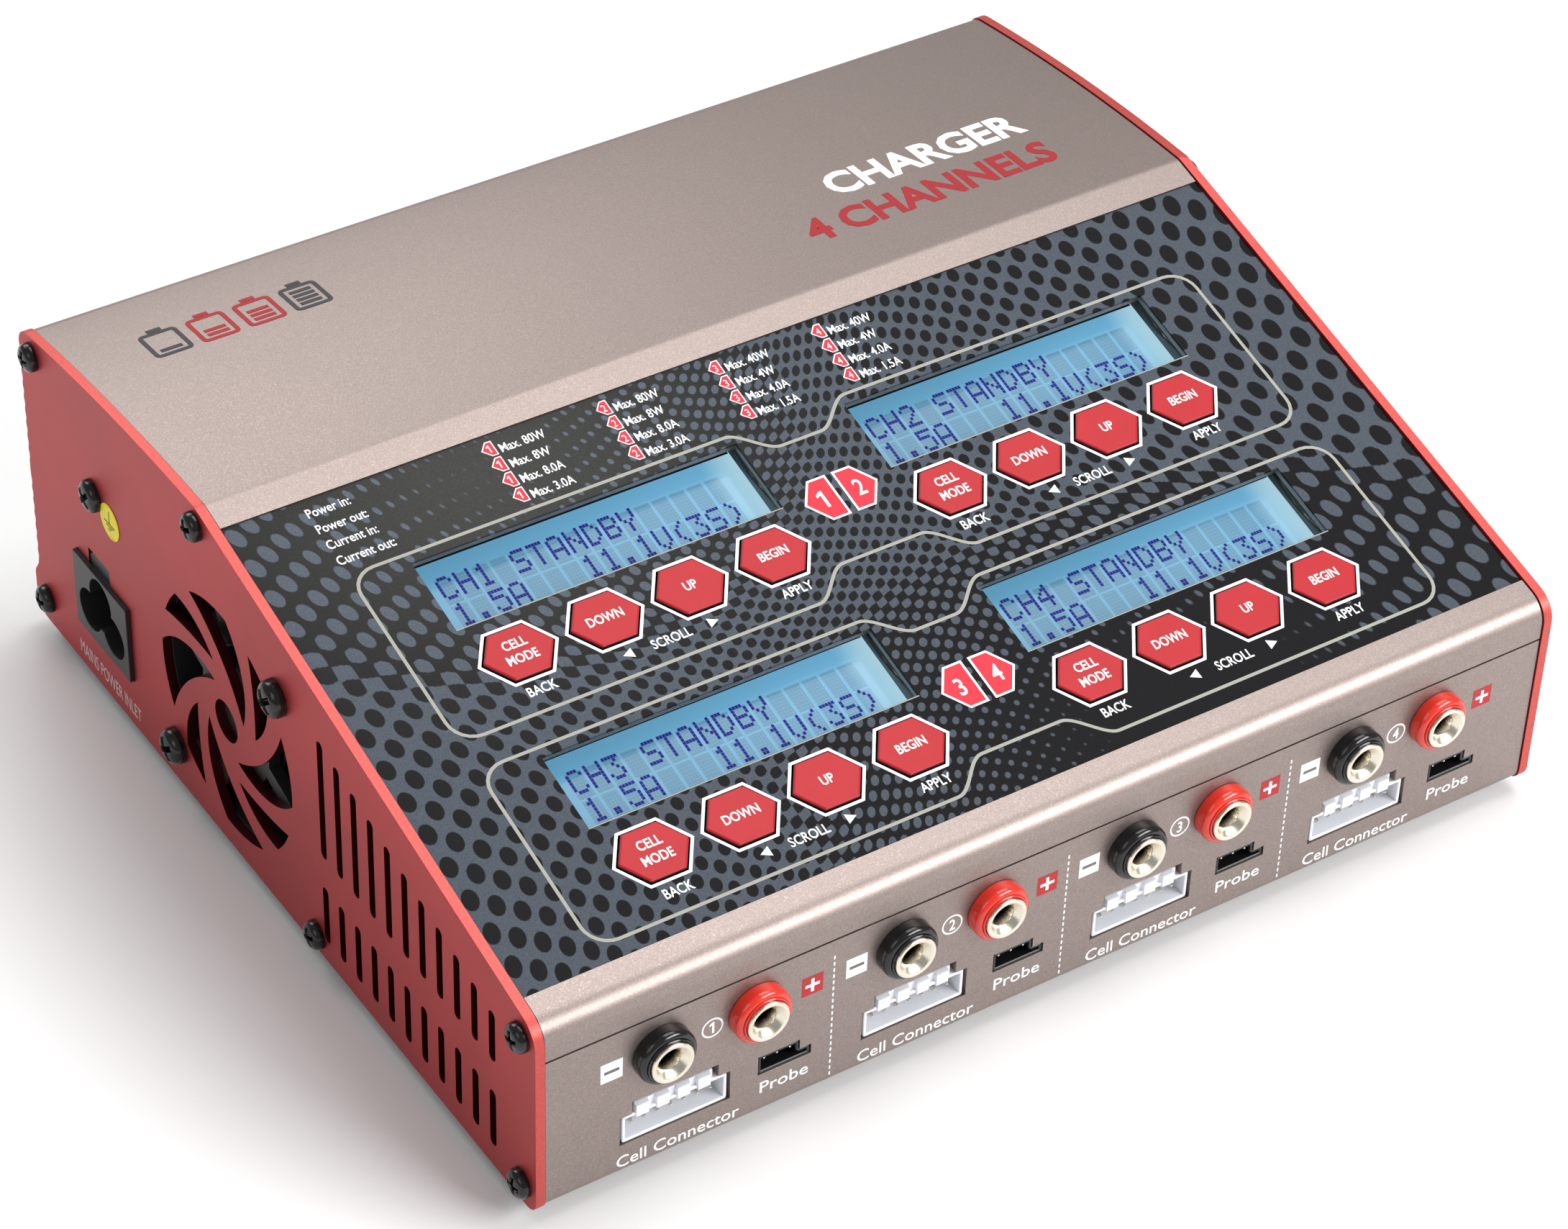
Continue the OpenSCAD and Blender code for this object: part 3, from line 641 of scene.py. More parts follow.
class Print(Gathered):
    """Flat marks, in millimetres, with their thickness and their lift off the face in metres."""

    def __init__(self, face, thickness, bend=None):
        super().__init__(face)
        self.thickness = thickness
        self.bend = bend

    def _place(self, point):
        return self.face @ (self.bend(point) if self.bend else point)

    def _row(self, points, height):
        return [self.mesh.verts.new(self._place(Vector((x * MM, y * MM, height)))) for x, y in points]

    def _face(self, ring, layer):
        self.mesh.faces.new(ring).material_index = layer

    def patch(self, outline, layer=0, lift=0.0):
        """Filled outline, counter-clockwise."""
        top, bottom = self._row(outline, lift + self.thickness), self._row(outline, lift)
        self._face(top, layer)
        self._face(bottom[::-1], layer)
        for i in range(len(outline)):
            self._face((top[i], top[i - 1], bottom[i - 1], bottom[i]), layer)

    def ribbon(self, points, width, layer=0, lift=0.0, closed=True):
        """Line of an even width along points, with mitred corners."""
        count = len(points)
        left, right = [], []
        for i, point in enumerate(points):
            before = points[i - 1] if closed or i else point
            after = points[(i + 1) % count] if closed or i < count - 1 else point
            normal, share = mitre(before, point, after)
            reach = width / 2 / max(0.3, share)
            left.append(Vector(point) + normal * reach)
            right.append(Vector(point) - normal * reach)
        high = lift + self.thickness
        rows = [self._row(*edge) for edge in ((left, high), (right, high), (right, lift), (left, lift))]
        for i in range(0 if closed else 1, count):
            for a, b in zip(rows, rows[1:] + rows[:1]):
                self._face((a[i - 1], b[i - 1], b[i], a[i]), layer)
        if not closed:
            self._face([row[0] for row in rows[::-1]], layer)
            self._face([row[-1] for row in rows], layer)

    def stroke(self, start, end, width, layer=0, lift=0.0):
        self.ribbon([start, end], width, layer, lift, closed=False)

    def words(self, text, at, height, layer=0, lift=0.0, squeeze=0.8, weight=0.0, align="CENTER"):
        """Letters whose capitals are height millimetres tall, about a point or from its left."""
        letters = configured(bpy.data.curves.new("letters", "FONT"), body=text, offset=weight * MM,
                             size=height * MM / CAPITAL_SHARE, extrude=self.thickness / 2,
                             align_x=align, align_y="BOTTOM_BASELINE", resolution_u=3)
        carrier = bpy.data.objects.new("letters", letters)
        mesh = bpy.data.meshes.new_from_object(carrier)
        part = bmesh.new()
        part.from_mesh(mesh)
        bmesh.ops.remove_doubles(part, verts=part.verts, dist=0.0005 * MM)
        offset = Vector((at[0] * MM, at[1] * MM - height * MM / 2, lift + self.thickness / 2))
        for vertex in part.verts:
            vertex.co = self._place(Vector((vertex.co.x * squeeze, vertex.co.y, vertex.co.z)) + offset)
        for face in part.faces:
            face.material_index = layer
        part.to_mesh(mesh)
        part.free()
        self.mesh.from_mesh(mesh)
        bpy.data.meshes.remove(mesh)
        bpy.data.objects.remove(carrier)
        bpy.data.curves.remove(letters)

    def digit(self, number, at, height, layer=0, lift=0.0, weight=0.0):
        """A channel's number; the figure one is drawn with a flag."""
        if number != 1:
            return self.words(str(number), at, height, layer, lift, weight=weight)
        x, y = at[0] + height * 0.06, at[1]
        half = (height * 0.15 + weight) / 2
        self.patch([*rectangle(x - half, y - height / 2, x + half, y + height / 2),
                    (x - height * 0.30, y + height * 0.32), (x - height * 0.30, y + height * 0.16),
                    (x - half, y + height * 0.27)], layer, lift)


# Height of a capital as a share of the letters' size
CAPITAL_SHARE = 0.73


def arc_points(centre, radius, start, end, steps):
    """Points of an arc between two angles in degrees."""
    angles = [math.radians(start + (end - start) * i / steps) for i in range(steps + 1)]
    return [(centre[0] + radius * math.cos(a), centre[1] + radius * math.sin(a)) for a in angles]


def hexagon(centre, width, height):
    """Hexagon with corners left and right, counter-clockwise."""
    x, y = centre
    return [(x - width / 2, y), (x - width / 4, y - height / 2), (x + width / 4, y - height / 2),
            (x + width / 2, y), (x + width / 4, y + height / 2), (x - width / 4, y + height / 2)]


def wave(x0, y0, x1, y1):
    """Points of an S-curve that leaves and arrives level."""
    shares = [i / 14 for i in range(15)]
    return [(x0 + (x1 - x0) * s, y0 + (y1 - y0) * (3 * s * s - 2 * s ** 3)) for s in shares]


# ---- Display cells ----

CELL_COUNT = 16
CELL_PITCH = 3.55
CELL_ROW = 5.95
CELL_W = 2.95
CELL_H = 5.55
DOT_X = CELL_W / 5
DOT_Y = CELL_H / 8
DOT_GAP = 0.07
LINE_HALF = CELL_COUNT / 2 * CELL_PITCH

# Dots of each character, row by row from the top, five to a row
GLYPHS = {
    "C": ".###. #...# #.... #.... #.... #...# .###.",
    "H": "#...# #...# #...# ##### #...# #...# #...#",
    "S": ".#### #.... #.... .###. ....# ....# ####.",
    "T": "##### ..#.. ..#.. ..#.. ..#.. ..#.. ..#..",
    "A": ".###. #...# #...# #...# ##### #...# #...#",
    "N": "#...# #...# ##..# #.#.# #..## #...# #...#",
    "D": "###.. #..#. #...# #...# #...# #..#. ###..",
    "B": "####. #...# #...# ####. #...# #...# ####.",
    "Y": "#...# #...# #...# .#.#. ..#.. ..#.. ..#..",
    "V": "#...# #...# #...# #...# #...# .#.#. ..#..",
    "1": "..#.. .##.. ..#.. ..#.. ..#.. ..#.. .###.",
    "2": ".###. #...# ....# ...#. ..#.. .#... #####",
    "3": "##### ...#. ..#.. ...#. ....# #...# .###.",
    "4": "...#. ..##. .#.#. #..#. ##### ...#. ...#.",
    "5": "##### #.... ####. ....# ....# #...# .###.",
    "(": "...#. ..#.. .#... .#... .#... ..#.. ...#.",
    ")": ".#... ..#.. ...#. ...#. ...#. ..#.. .#...",
    ".": "..... ..... ..... ..... ..... .##.. .##..",
    " ": "..... ..... ..... ..... ..... ..... .....",
}


# ---- Operators ----


class ChargerOperator:
    """What the operators share."""

    bl_options = {"REGISTER"}

    @property
    def sizes(self):
        return bpy.context.scene.charger_sizes

    @property
    def colours(self):
        return bpy.context.scene.charger_colours


# Place and size in metres, then the setting that gives the lamp's power and its share of it
LAMPS = {
    "key_light": ((0.62, -1.01, 0.73), (0.9, 0.45), "key_power", 1.0),
    "fill_light": ((-1.25, -0.50, 0.95), (0.8, 0.8), "fill_power", 1.0),
    "back_light": ((0.02, 0.98, 0.82), (1.0, 0.6), "back_power", 1.0),
    "over_light": ((0.42, 0.08, 1.22), (1.0, 0.8), "back_power", 1.65),
}
LAMP_AIM = Vector((0, 0, 0.03))
WORLD_LIGHT = 0.34
FLOOR_REACH = 6.0


class CHARGER_OT_stage(ChargerOperator, bpy.types.Operator):
    """Make the floor, the lights, the world and the camera"""

    bl_idname = "charger.stage"
    bl_label = "Stage"

    def execute(self, context):
        stage = context.scene.charger_stage
        eye = configured(bpy.data.cameras.new("camera"), lens=stage.focal, sensor_width=36, clip_start=0.01)
        camera = self.link("camera", eye)
        camera.location = stage.camera_place
        camera.rotation_euler = stage.camera_turn
        context.scene.camera = camera
        for name, (place, size, setting, share) in LAMPS.items():
            light = configured(bpy.data.lights.new(name, "AREA"), shape="RECTANGLE", size=size[0],
                               size_y=size[1], energy=getattr(stage, setting) * share)
            lamp = self.link(name, light)
            lamp.location = place
            lamp.rotation_euler = (LAMP_AIM - Vector(place)).to_track_quat("-Z", "Y").to_euler()
        world = bpy.data.worlds.new("studio")
        world.use_nodes = True
        background = world.node_tree.nodes["Background"]
        background.inputs["Color"].default_value = (1, 1, 1, 1)
        background.inputs["Strength"].default_value = WORLD_LIGHT
        context.scene.world = world
        context.scene.view_settings.view_transform = "Standard"
        finish = Finish("studio_floor", Roughness=0.6)
        tone = finish.noise(300, detail=1)
        finish.set("Base Color", finish.mix(tone, (0.86, 0.86, 0.86), (0.88, 0.88, 0.88)))
        mesh = bpy.data.meshes.new("floor")
        mesh.from_pydata([(x, y, 0) for x, y in square(0, 0, FLOOR_REACH)], [], [(0, 1, 2, 3)])
        mesh.materials.append(finish.material)
        self.link("floor", mesh)
        return {"FINISHED"}

    def link(self, name, data):
        thing = bpy.data.objects.new(name, data)
        bpy.context.scene.collection.objects.link(thing)
        return thing


class CHARGER_OT_shells(ChargerOperator, bpy.types.Operator):
    """Coat the two shells"""

    bl_idname = "charger.shells"
    bl_label = "Shells"

    def execute(self, context):
        coat = shell_coat("shell_coat", self.colours.shell)
        for node in ("upper_shell", "lower_shell"):
            finish_node(node, coat, self.sizes.sheet_edge)
        return {"FINISHED"}


class CHARGER_OT_plates(ChargerOperator, bpy.types.Operator):
    """Anodise the end plates"""

    bl_idname = "charger.plates"
    bl_label = "End plates"

    def execute(self, context):
        red = plate_anodised("plate_anodised", self.colours.plate)
        for node in ("left_plate", "right_plate"):
            finish_node(node, red, self.sizes.plate_edge)
        return {"FINISHED"}


# Marks of the keypad, in millimetres
CAPTION_H = 1.95
CAPTION_DROP = 7.75
OUTLINE_W, OUTLINE_H = 15.44, 11.73
ARROW_DX, ARROW_HALF = 8.35, 0.95
LINE_SIDE, LINE_RADIUS = 86.1, 4.6
BADGE_CORNERS = (0.85, -4.4), (4.3, -4.4), (7.25, 0), (4.3, 4.4), (0.85, 4.4)
BADGE_DROP = 9.15
RATING_LEFT = -86.5
RATING_X = (-51.3, -28.5, -5.7, 15.7)
RATING_TOP, RATING_PITCH = -2.8, 3.63
RATINGS = (("Power in:", "Max. 80W", "Max. 40W"), ("Power out:", "Max. 8W", "Max. 4W"),
           ("Current in:", "Max. 8.0A", "Max. 4.0A"), ("Current out:", "Max. 3.0A", "Max. 1.5A"))


class CHARGER_OT_film(ChargerOperator, bpy.types.Operator):
    """Print the keypad film and the marks on it"""

    bl_idname = "charger.film"
    bl_label = "Keypad film"

    def execute(self, context):
        colours = self.colours
        film = keypad_film("keypad_film", colours.film_dark, colours.film_light)
        finish_node("keypad_overlay", film, self.sizes.fine_edge)
        lines, marks = Print(KEYPAD, self.sizes.ink), Print(KEYPAD, self.sizes.ink)
        for channel in CHANNELS:
            if side_of(channel) < 0:
                self.channel_lines(lines, DISPLAY_T[channel])
            middle, foot = centre_of(f"lcd_glass_{channel}", KEYPAD).x, DISPLAY_T[channel] - 7.85
            lines.stroke((middle - 32.1, foot), (middle + 32.1, foot), 0.2)
            self.key_marks(marks, channel)
            self.badge(marks, channel)
        self.ratings(marks)
        lines.piece("keypad_lines", "overlay_film", [ink("line_ink", colours.line)])
        inks = [ink("white_ink", colours.white_ink), ink("red_ink", colours.red_ink)]
        marks.piece("keypad_marks", "overlay_film", inks)
        return {"FINISHED"}

    def channel_lines(self, lines, t):
        """Line round two channels, pinched between their displays and their keys."""
        top, foot = t + 9.6, t - 28.2
        side, high, low = LINE_SIDE - LINE_RADIUS, top - LINE_RADIUS, foot + LINE_RADIUS
        path = arc_points((side, high), LINE_RADIUS, 0, 90, 6)
        path += wave(12.4, top, 4.1, top - 5.5) + wave(-4.1, top - 5.5, -12.4, top)
        path += arc_points((-side, high), LINE_RADIUS, 90, 180, 6)
        path += arc_points((-side, low), LINE_RADIUS, 180, 270, 6)
        path += wave(-16.3, foot, -8.0, foot + 5.8) + wave(8.0, foot + 5.8, 16.3, foot)
        path += arc_points((side, low), LINE_RADIUS, 270, 360, 6)
        lines.ribbon(path, self.sizes.outline / MM)

    def key_marks(self, marks, channel):
        """White outline round each key, the captions under them and the two arrows."""
        grown = self.sizes.key_outline / MM
        keys = [centre_of(f"{kind}_key_{channel}", KEYPAD) for kind in KEY_KINDS]
        for key in keys:
            marks.ribbon(hexagon(key.xy, OUTLINE_W - grown * 1.15, OUTLINE_H - grown), grown)
        middle, y = (keys[1].x + keys[2].x) / 2, keys[1].y - CAPTION_DROP
        for caption, x in (("BACK", keys[0].x), ("SCROLL", middle), ("APPLY", keys[3].x)):
            marks.words(caption, (x, y), CAPTION_H, weight=0.04)
        for side in (-1, 1):
            tip, base = (middle + side * (ARROW_DX + reach) for reach in (ARROW_HALF, -ARROW_HALF))
            marks.patch([(tip, y), (base, y + side), (base, y - side)])

    def badge(self, marks, channel):
        """Half a hexagon in red with the number of its channel."""
        side, y, lift = side_of(channel), DISPLAY_T[channel] - BADGE_DROP, self.sizes.ink
        outline = [(side * x, y + dy) for x, dy in BADGE_CORNERS][::side]
        marks.patch(outline, 1)
        marks.ribbon(outline, 0.42, 0, lift)
        marks.digit(channel, (side * 3.65, y), 3.6, 0, lift, weight=0.06)

    def ratings(self, marks):
        """Table of the channels' limits above the displays."""
        lift = self.sizes.ink
        for i, (caption, strong, weak) in enumerate(RATINGS):
            t = RATING_TOP - RATING_PITCH * i
            marks.words(caption, (RATING_LEFT, t), CAPTION_H, weight=0.03, align="LEFT")
            for channel, x in zip(CHANNELS, RATING_X):
                tag = [(x - 1.3, t - 0.1), (x, t - 1.6), (x + 1.1, t - 1.6), (x + 1.1, t + 1.4), (x, t + 1.4)]
                marks.patch(tag, 1)
                marks.ribbon(tag, 0.2, 0, lift)
                marks.digit(channel, (x + 0.1, t - 0.1), 1.6, 0, lift)
                limit = strong if channel < 3 else weak
                marks.words(limit, (x + 1.8, t - 0.6), 1.9, weight=0.03, align="LEFT")


# Lines of each key's legend, and how far they stand above its middle in millimetres
LEGENDS = {"stop": (("CELL", 1.77), ("MODE", -1.23)), "minus": (("DOWN", 0.24),),
           "plus": (("UP", 0.24),), "start": (("BEGIN", 0.24),)}
LEGEND_H = 1.9


class CHARGER_OT_keys(ChargerOperator, bpy.types.Operator):
    """Finish the key caps and print their legends"""

    bl_idname = "charger.keys"
    bl_label = "Keys"

    def execute(self, context):
        cap = key_plastic("key_plastic", self.colours.key)
        white = ink("key_ink", self.colours.white_ink)
        for kind, lines in LEGENDS.items():
            for channel in CHANNELS:
                node = f"{kind}_key_{channel}"
                finish_node(node, cap, self.sizes.key_edge)
                at, top = centre_of(node, KEYPAD), local_box(node, KEYPAD)[1].z
                marks = Print(KEYPAD, self.sizes.ink)
                for text, dy in lines:
                    marks.words(text, (at.x, at.y + dy), LEGEND_H, 0, (top - 0.005) * MM, weight=0.05)
                marks.piece(f"{node}_legend", "key_plastic", [white], body=node)
        return {"FINISHED"}


class CHARGER_OT_displays(ChargerOperator, bpy.types.Operator):
    """Light the displays, set their characters and paint a shadow along the top of each glass"""

    bl_idname = "charger.displays"
    bl_label = "Displays"

    def execute(self, context):
        glass = display_glass("display_glass", self.colours.backlight)
        bezel = moulded("display_bezel", (0.012, 0.016, 0.017), 0.22)
        dots = ink("display_dots", self.colours.dots, 0.6)
        painted_shadow = ink("display_painted_shadow", (0.004, 0.010, 0.011), 0.3)
        for channel in CHANNELS:
            finish_node(f"lcd_frame_{channel}", bezel)
            finish_node(f"lcd_glass_{channel}", glass)
            marks = Print(KEYPAD, self.sizes.ink)
            middle, top = side_of(channel) * DISPLAY_X, DISPLAY_T[channel] + 10.0
            for row, text in enumerate((f"CH{channel} STANDBY", "1.5A   11.1V(3S)")):
                self.line(marks, middle - LINE_HALF, DISPLAY_T[channel] + CELL_ROW * (1 - row), text)
            # Painted shadow: a dark strip along the top of the glass, where the bezel's top wall shades it.
            marks.patch(rectangle(middle - 32.2, top - 0.75, middle + 32.2, top), 1, GLASS_TOP * MM)
            marks.piece(f"display_characters_{channel}", "lcd_glass", [dots, painted_shadow])
        return {"FINISHED"}

    def line(self, marks, left, top, text):
        """Dots of one line of characters, from its upper left corner."""
        for place, character in enumerate(text):
            for i, dots in enumerate(GLYPHS[character].split()):
                for j in (j for j, dot in enumerate(dots) if dot == "#"):
                    x, y = left + place * CELL_PITCH + j * DOT_X, top - (i + 1) * DOT_Y
                    marks.patch(rectangle(x, y, x + DOT_X - DOT_GAP, y + DOT_Y - DOT_GAP), 0, GLASS_TOP * MM)


# Outlines (radius, out) in millimetres of the turned and moulded parts of a jack
SHOULDER = arc_points((4.22, 1.72), 1.18, 0, 78, 10)
COLLAR = [(4.02, -12.0), (4.45, -12.0), (4.45, 0.02), (5.25, 0.02), (5.4, 0.15), *SHOULDER,
          (4.43, 2.72), (4.38, 2.72), (4.36, 3.12), (4.28, 3.2), (4.08, 3.2), (4.02, 3.12)]
NUT = [(4.0, -1.6), (6.2, -1.6), (6.2, -4.2), (4.0, -4.2)]
SLEEVE = [(0.0, -11.0), (2.0, -11.0), (2.02, 2.38), (2.16, 2.6), (3.12, 3.62), (3.25, 3.7), (3.4, 3.74),
          (3.84, 3.74), (3.96, 3.62), (3.96, -12.5), (2.2, -12.5), (2.2, -14.4), (0.0, -14.4)]


class CHARGER_OT_jacks(ChargerOperator, bpy.types.Operator):
    """Finish the banana jacks"""

    bl_idname = "charger.jacks"
    bl_label = "Banana jacks"

    def execute(self, context):
        black = moulded("jack_black", (0.006, 0.006, 0.007), 0.16)
        red = moulded("jack_red", (0.70, 0.028, 0.014), 0.20, Coat_Weight=0.3, Coat_Roughness=0.1)
        for tone, finish in (("black", black), ("red", red)):
            for channel in CHANNELS:
                node = f"{tone}_jack_{channel}"
                middle = centre_of(node, PANEL)
                collar = Solid(PANEL)
                collar.lathe(middle, COLLAR)
                collar.lathe(middle, NUT, 6)
                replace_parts(collar.piece(f"{tone}_collar_{channel}", f"jack_{tone}", [finish], 35), node)
        sleeves = Solid(PANEL)
        for low, high in loose_boxes("jack_sleeves", PANEL):
            sleeves.lathe((low + high) / 2, SLEEVE)
        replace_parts(sleeves.piece("turned_sleeves", "jack_metal", [self.sleeve_metal()], 35), "jack_sleeves")
        return {"FINISHED"}

    def sleeve_metal(self):
        """Nickel plate, with painted shade darkening it down in the bore."""
        plate = Finish("jack_sleeve", Metallic=1.0)
        out = plate.along(PANEL)[2]
        marks = plate.noise(0.2, detail=4)
        bright = plate.mix(marks, (0.72, 0.66, 0.54), (0.80, 0.75, 0.64))
        # Painted shade: the nickel turns near black with depth into the bore.
        plate.set("Base Color", plate.mix(out.ramp(0.4, 2.5), (0.035, 0.030, 0.022), bright))
        plate.set("Roughness", 0.20 + marks * 0.12)
        return plate.material


# Sockets, in millimetres: the pins' pitch and half width, and the sensor socket beside its header
PIN_PITCH = 2.5
PIN_HALF = 0.32
PROBE_DX, PROBE_Z = 13.15, 12.3
PROBE_STEP = (9.22, 9.62), (19.22, 9.62), (19.22, 11.42), (17.05, 11.42), (17.05, 13.48), (9.22, 13.48)
LUG_PITCH, LUG_W = 3.9, 2.75


class CHARGER_OT_sockets(ChargerOperator, bpy.types.Operator):
    """Finish the balance headers, sensor sockets and pins"""

    bl_idname = "charger.sockets"
    bl_label = "Sockets"

    def execute(self, context):
        nylon = moulded("header_nylon", (0.80, 0.80, 0.84), 0.40, Subsurface_Weight=0.10)
        black = moulded("sensor_moulding", (0.006, 0.006, 0.007), 0.38)
        pins, probes = Solid(PANEL), Solid(PANEL)
        for channel, x in CHANNEL_X.items():
            node = f"balance_socket_{channel}"
            low, high = local_box(node, PANEL)
            middle = (low + high) / 2
            header = self.header(low, high, middle.x)
            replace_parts(header.piece(f"cell_header_{channel}", "header_nylon", [nylon], 30), node)
            self.pins(pins, middle.x, middle.y - 0.1, 7, -7.6, -1.2)
            probes.tray(rounded([(x + dx, z) for dx, z in PROBE_STEP], 0.42), 0.55, -8.5, -0.1, -5.5)
            self.pins(pins, x + PROBE_DX, PROBE_Z, 3, -6.0, -0.6)
        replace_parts(probes.piece("probe_sockets", "black_moulding", [black], 35), "sensor_sockets")
        tin = metal("pin_plating", (0.70, 0.67, 0.60), 0.25)
        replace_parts(pins.piece("socket_pins", "contact_metal", [tin]), "contact_pins")
        return {"FINISHED"}

    def header(self, low, high, middle):
        """Shrouded header whose upper wall carries a ridge of lugs."""
        shroud = Solid(PANEL)
        box = rectangle(low.x, low.y, high.x, high.y)
        shroud.tray(rounded(box, 0.5), 0.62, low.z, -0.2, low.z + 1.4)
        ridge = rectangle(middle - 7.9, high.y - 0.75, middle + 7.6, high.y + 1.9)
        ridge[3] = (middle - 7.4, high.y + 1.9)
        shroud.block(ridge, low.z, -0.75, 0.15)
        for i in range(4):
            left = middle - 7.55 + i * LUG_PITCH
            lug = rectangle(left, high.y - 1.05, left + LUG_W, high.y + 1.75)
            shroud.block(rounded(lug, 0.22), -0.8, 0.02, 0.2)
        return shroud

    def pins(self, solid, middle, z, count, back, tip):
        """Row of square pins with tapered tips."""
        for i in range(count):
            outline = square(middle + (i - count // 2) * PIN_PITCH, z, PIN_HALF)
            solid.stack([solid.ring(outline, back), solid.ring(outline, tip - 0.5),
                         solid.ring(inset(outline, PIN_HALF / 2), tip)])


class CHARGER_OT_inlets(ChargerOperator, bpy.types.Operator):
    """Finish the mains inlet and the low-voltage inlet"""

    bl_idname = "charger.inlets"
    bl_label = "Inlets"

    def execute(self, context):
        black = moulded("inlet_moulding", (0.014, 0.014, 0.015), 0.40)
        finish_node("mains_inlet", black, self.sizes.moulded_edge)
        low, high = local_box("mains_inlet", LEFT)
        middle, top = (low.x + high.x) / 2 - 1.2, high.y - 0.35
        hump = [(middle - 4.0, top - 4.0), (middle + 4.0, top - 4.0), (middle + 4.0, top + 0.2),
                (middle + 2.9, top + 0.9), (middle - 2.0, top + 0.9), (middle - 4.0, top - 0.2)]
        catch = Solid(LEFT)
        catch.block(rounded(hump, 0.5), -1.75, -0.25, 0.12)
        catch.piece("inlet_catch", "inlet_plastic", [black], 40)
        finish_node("dc_inlet", moulded("dc_moulding", (0.62, 0.38, 0.02), 0.4), self.sizes.moulded_edge)
        return {"FINISHED"}


class CHARGER_OT_fan(ChargerOperator, bpy.types.Operator):
    """Finish the fan"""

    bl_idname = "charger.fan"
    bl_label = "Fan"

    def execute(self, context):
        fine = self.sizes.fine_edge
        finish_node("fan_frame", moulded("fan_frame_plastic", (0.014, 0.014, 0.015), 0.45), fine)
        finish_node("fan_rotor", moulded("fan_blade_plastic", (0.020, 0.020, 0.022), 0.35), fine)
        return {"FINISHED"}


# A screw's head: points round it and rings across it, then shares of its radius or height
HEAD_POINTS, HEAD_RINGS = 96, 26
HEAD_SPREAD = 1.62
RIM_SHARE = 0.30
ARM_HALF, ARM_REACH, ARM_SLOPE, ARM_DEPTH = 0.19, 0.66, 0.10, 0.55


class CHARGER_OT_fasteners(ChargerOperator, bpy.types.Operator):
    """Finish the screws, the earth badge and the feet"""

    bl_idname = "charger.fasteners"
    bl_label = "Screws, badge and feet"

    def execute(self, context):
        screw = Finish("black_screw", Metallic=0.4, Coat_Weight=0.3, Coat_Roughness=0.08)
        wear = screw.noise(0.5, detail=3)
        screw.set("Base Color", screw.mix(wear, (0.005, 0.005, 0.006), (0.012, 0.012, 0.012)))
        screw.set("Roughness", 0.16 + wear * 0.10)
        for node, name in (("plate_screws", "domed_screws"), ("fan_screws", "fan_bolts")):
            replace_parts(self.screws(node).piece(name, "black_screw", [screw.material], 50), node)
        finish_node("earth_badge", ink("badge_film", (0.90, 0.76, 0.02), 0.35))
        rubber = moulded("foot_rubber", (0.012, 0.012, 0.012), 0.75)
        finish_node("rubber_feet", rubber, self.sizes.moulded_edge)
        middle = centre_of("earth_badge", LEFT)
        top = local_box("earth_badge", LEFT)[1].z * MM
        marks = Print(LEFT, self.sizes.ink)
        marks.stroke((middle.x, middle.y + 2.3), (middle.x, middle.y - 0.4), 0.22, 0, top)
        for half, drop in ((2.0, 0.4), (1.2, 1.0), (0.5, 1.6)):
            y = middle.y - drop
            marks.stroke((middle.x - half, y), (middle.x + half, y), 0.22, 0, top)
        marks.piece("earth_symbol", "badge_film", [ink("symbol_ink", (0.02, 0.02, 0.02))])
        return {"FINISHED"}

    def screws(self, node):
        """Cross-recess screws in the places of a node's loose parts."""
        solid = Solid(LEFT)
        for face in (LEFT, RIGHT):
            solid.face = face
            for low, high in loose_boxes(node, face):
                if high.z > 0:
                    radius = min(high.x - low.x, high.y - low.y) / 2
                    self.screw(solid, (low + high) / 2, radius, high.z, low.z)
        return solid

    def screw(self, solid, centre, radius, height, end):
        """Pan head with a cross recess, on a plain shank."""
        radius, turn = min(radius, height * HEAD_SPREAD), 0.35 + centre.x * 0.9
        rings = [solid.ring(circle(centre, radius, HEAD_POINTS), 0.0)]
        for i in range(HEAD_RINGS, 0, -1):
            dome = height * (RIM_SHARE + (1 - RIM_SHARE) * math.sqrt(max(0.0, 1 - (i / HEAD_RINGS) ** 3.2)))
            ring = []
            for x, y in circle((0, 0), radius * i / HEAD_RINGS, HEAD_POINTS):
                u, v = (abs(x * math.cos(turn) - y * math.sin(turn)) / radius,
                        abs(x * math.sin(turn) + y * math.cos(turn)) / radius)
                arm = min(max(u - ARM_HALF, v - ARM_REACH), max(v - ARM_HALF, u - ARM_REACH))
                cut = min(1.0, max(0.0, -arm / ARM_SLOPE))
                out = dome - height * ARM_DEPTH * cut * cut * (3 - 2 * cut)
                ring += solid.ring([(centre.x + x, centre.y + y)], out)
            rings.append(ring)
        solid.stack(rings)
        solid.lathe(centre, ((0.0, end), (1.5, end), (1.5, -0.02), (0.0, -0.02)), 24)


class CHARGER_OT_inside(ChargerOperator, bpy.types.Operator):
    """Finish what the case holds"""

    bl_idname = "charger.inside"
    bl_label = "Inside"

    def execute(self, context):
        board = moulded("circuit_board", (0.015, 0.09, 0.035), 0.35)
        finishes = {
            "main_board": board, "control_board": board,
            "key_switches": moulded("switch_moulding", (0.02, 0.02, 0.02), 0.4),
            "standoffs": metal("standoff_brass", (0.70, 0.52, 0.24), 0.3),
            "transformer": moulded("ferrite", (0.035, 0.035, 0.038), 0.6),
            "capacitors": moulded("capacitor_sleeve", (0.03, 0.04, 0.12), 0.3),
            "heat_sink": metal("sink_metal", (0.72, 0.73, 0.74), 0.4),
            "channel_chokes": moulded("choke_winding", (0.45, 0.18, 0.06), 0.4),
        }
        for node, finish in finishes.items():
            finish_node(node, finish)
        return {"FINISHED"}


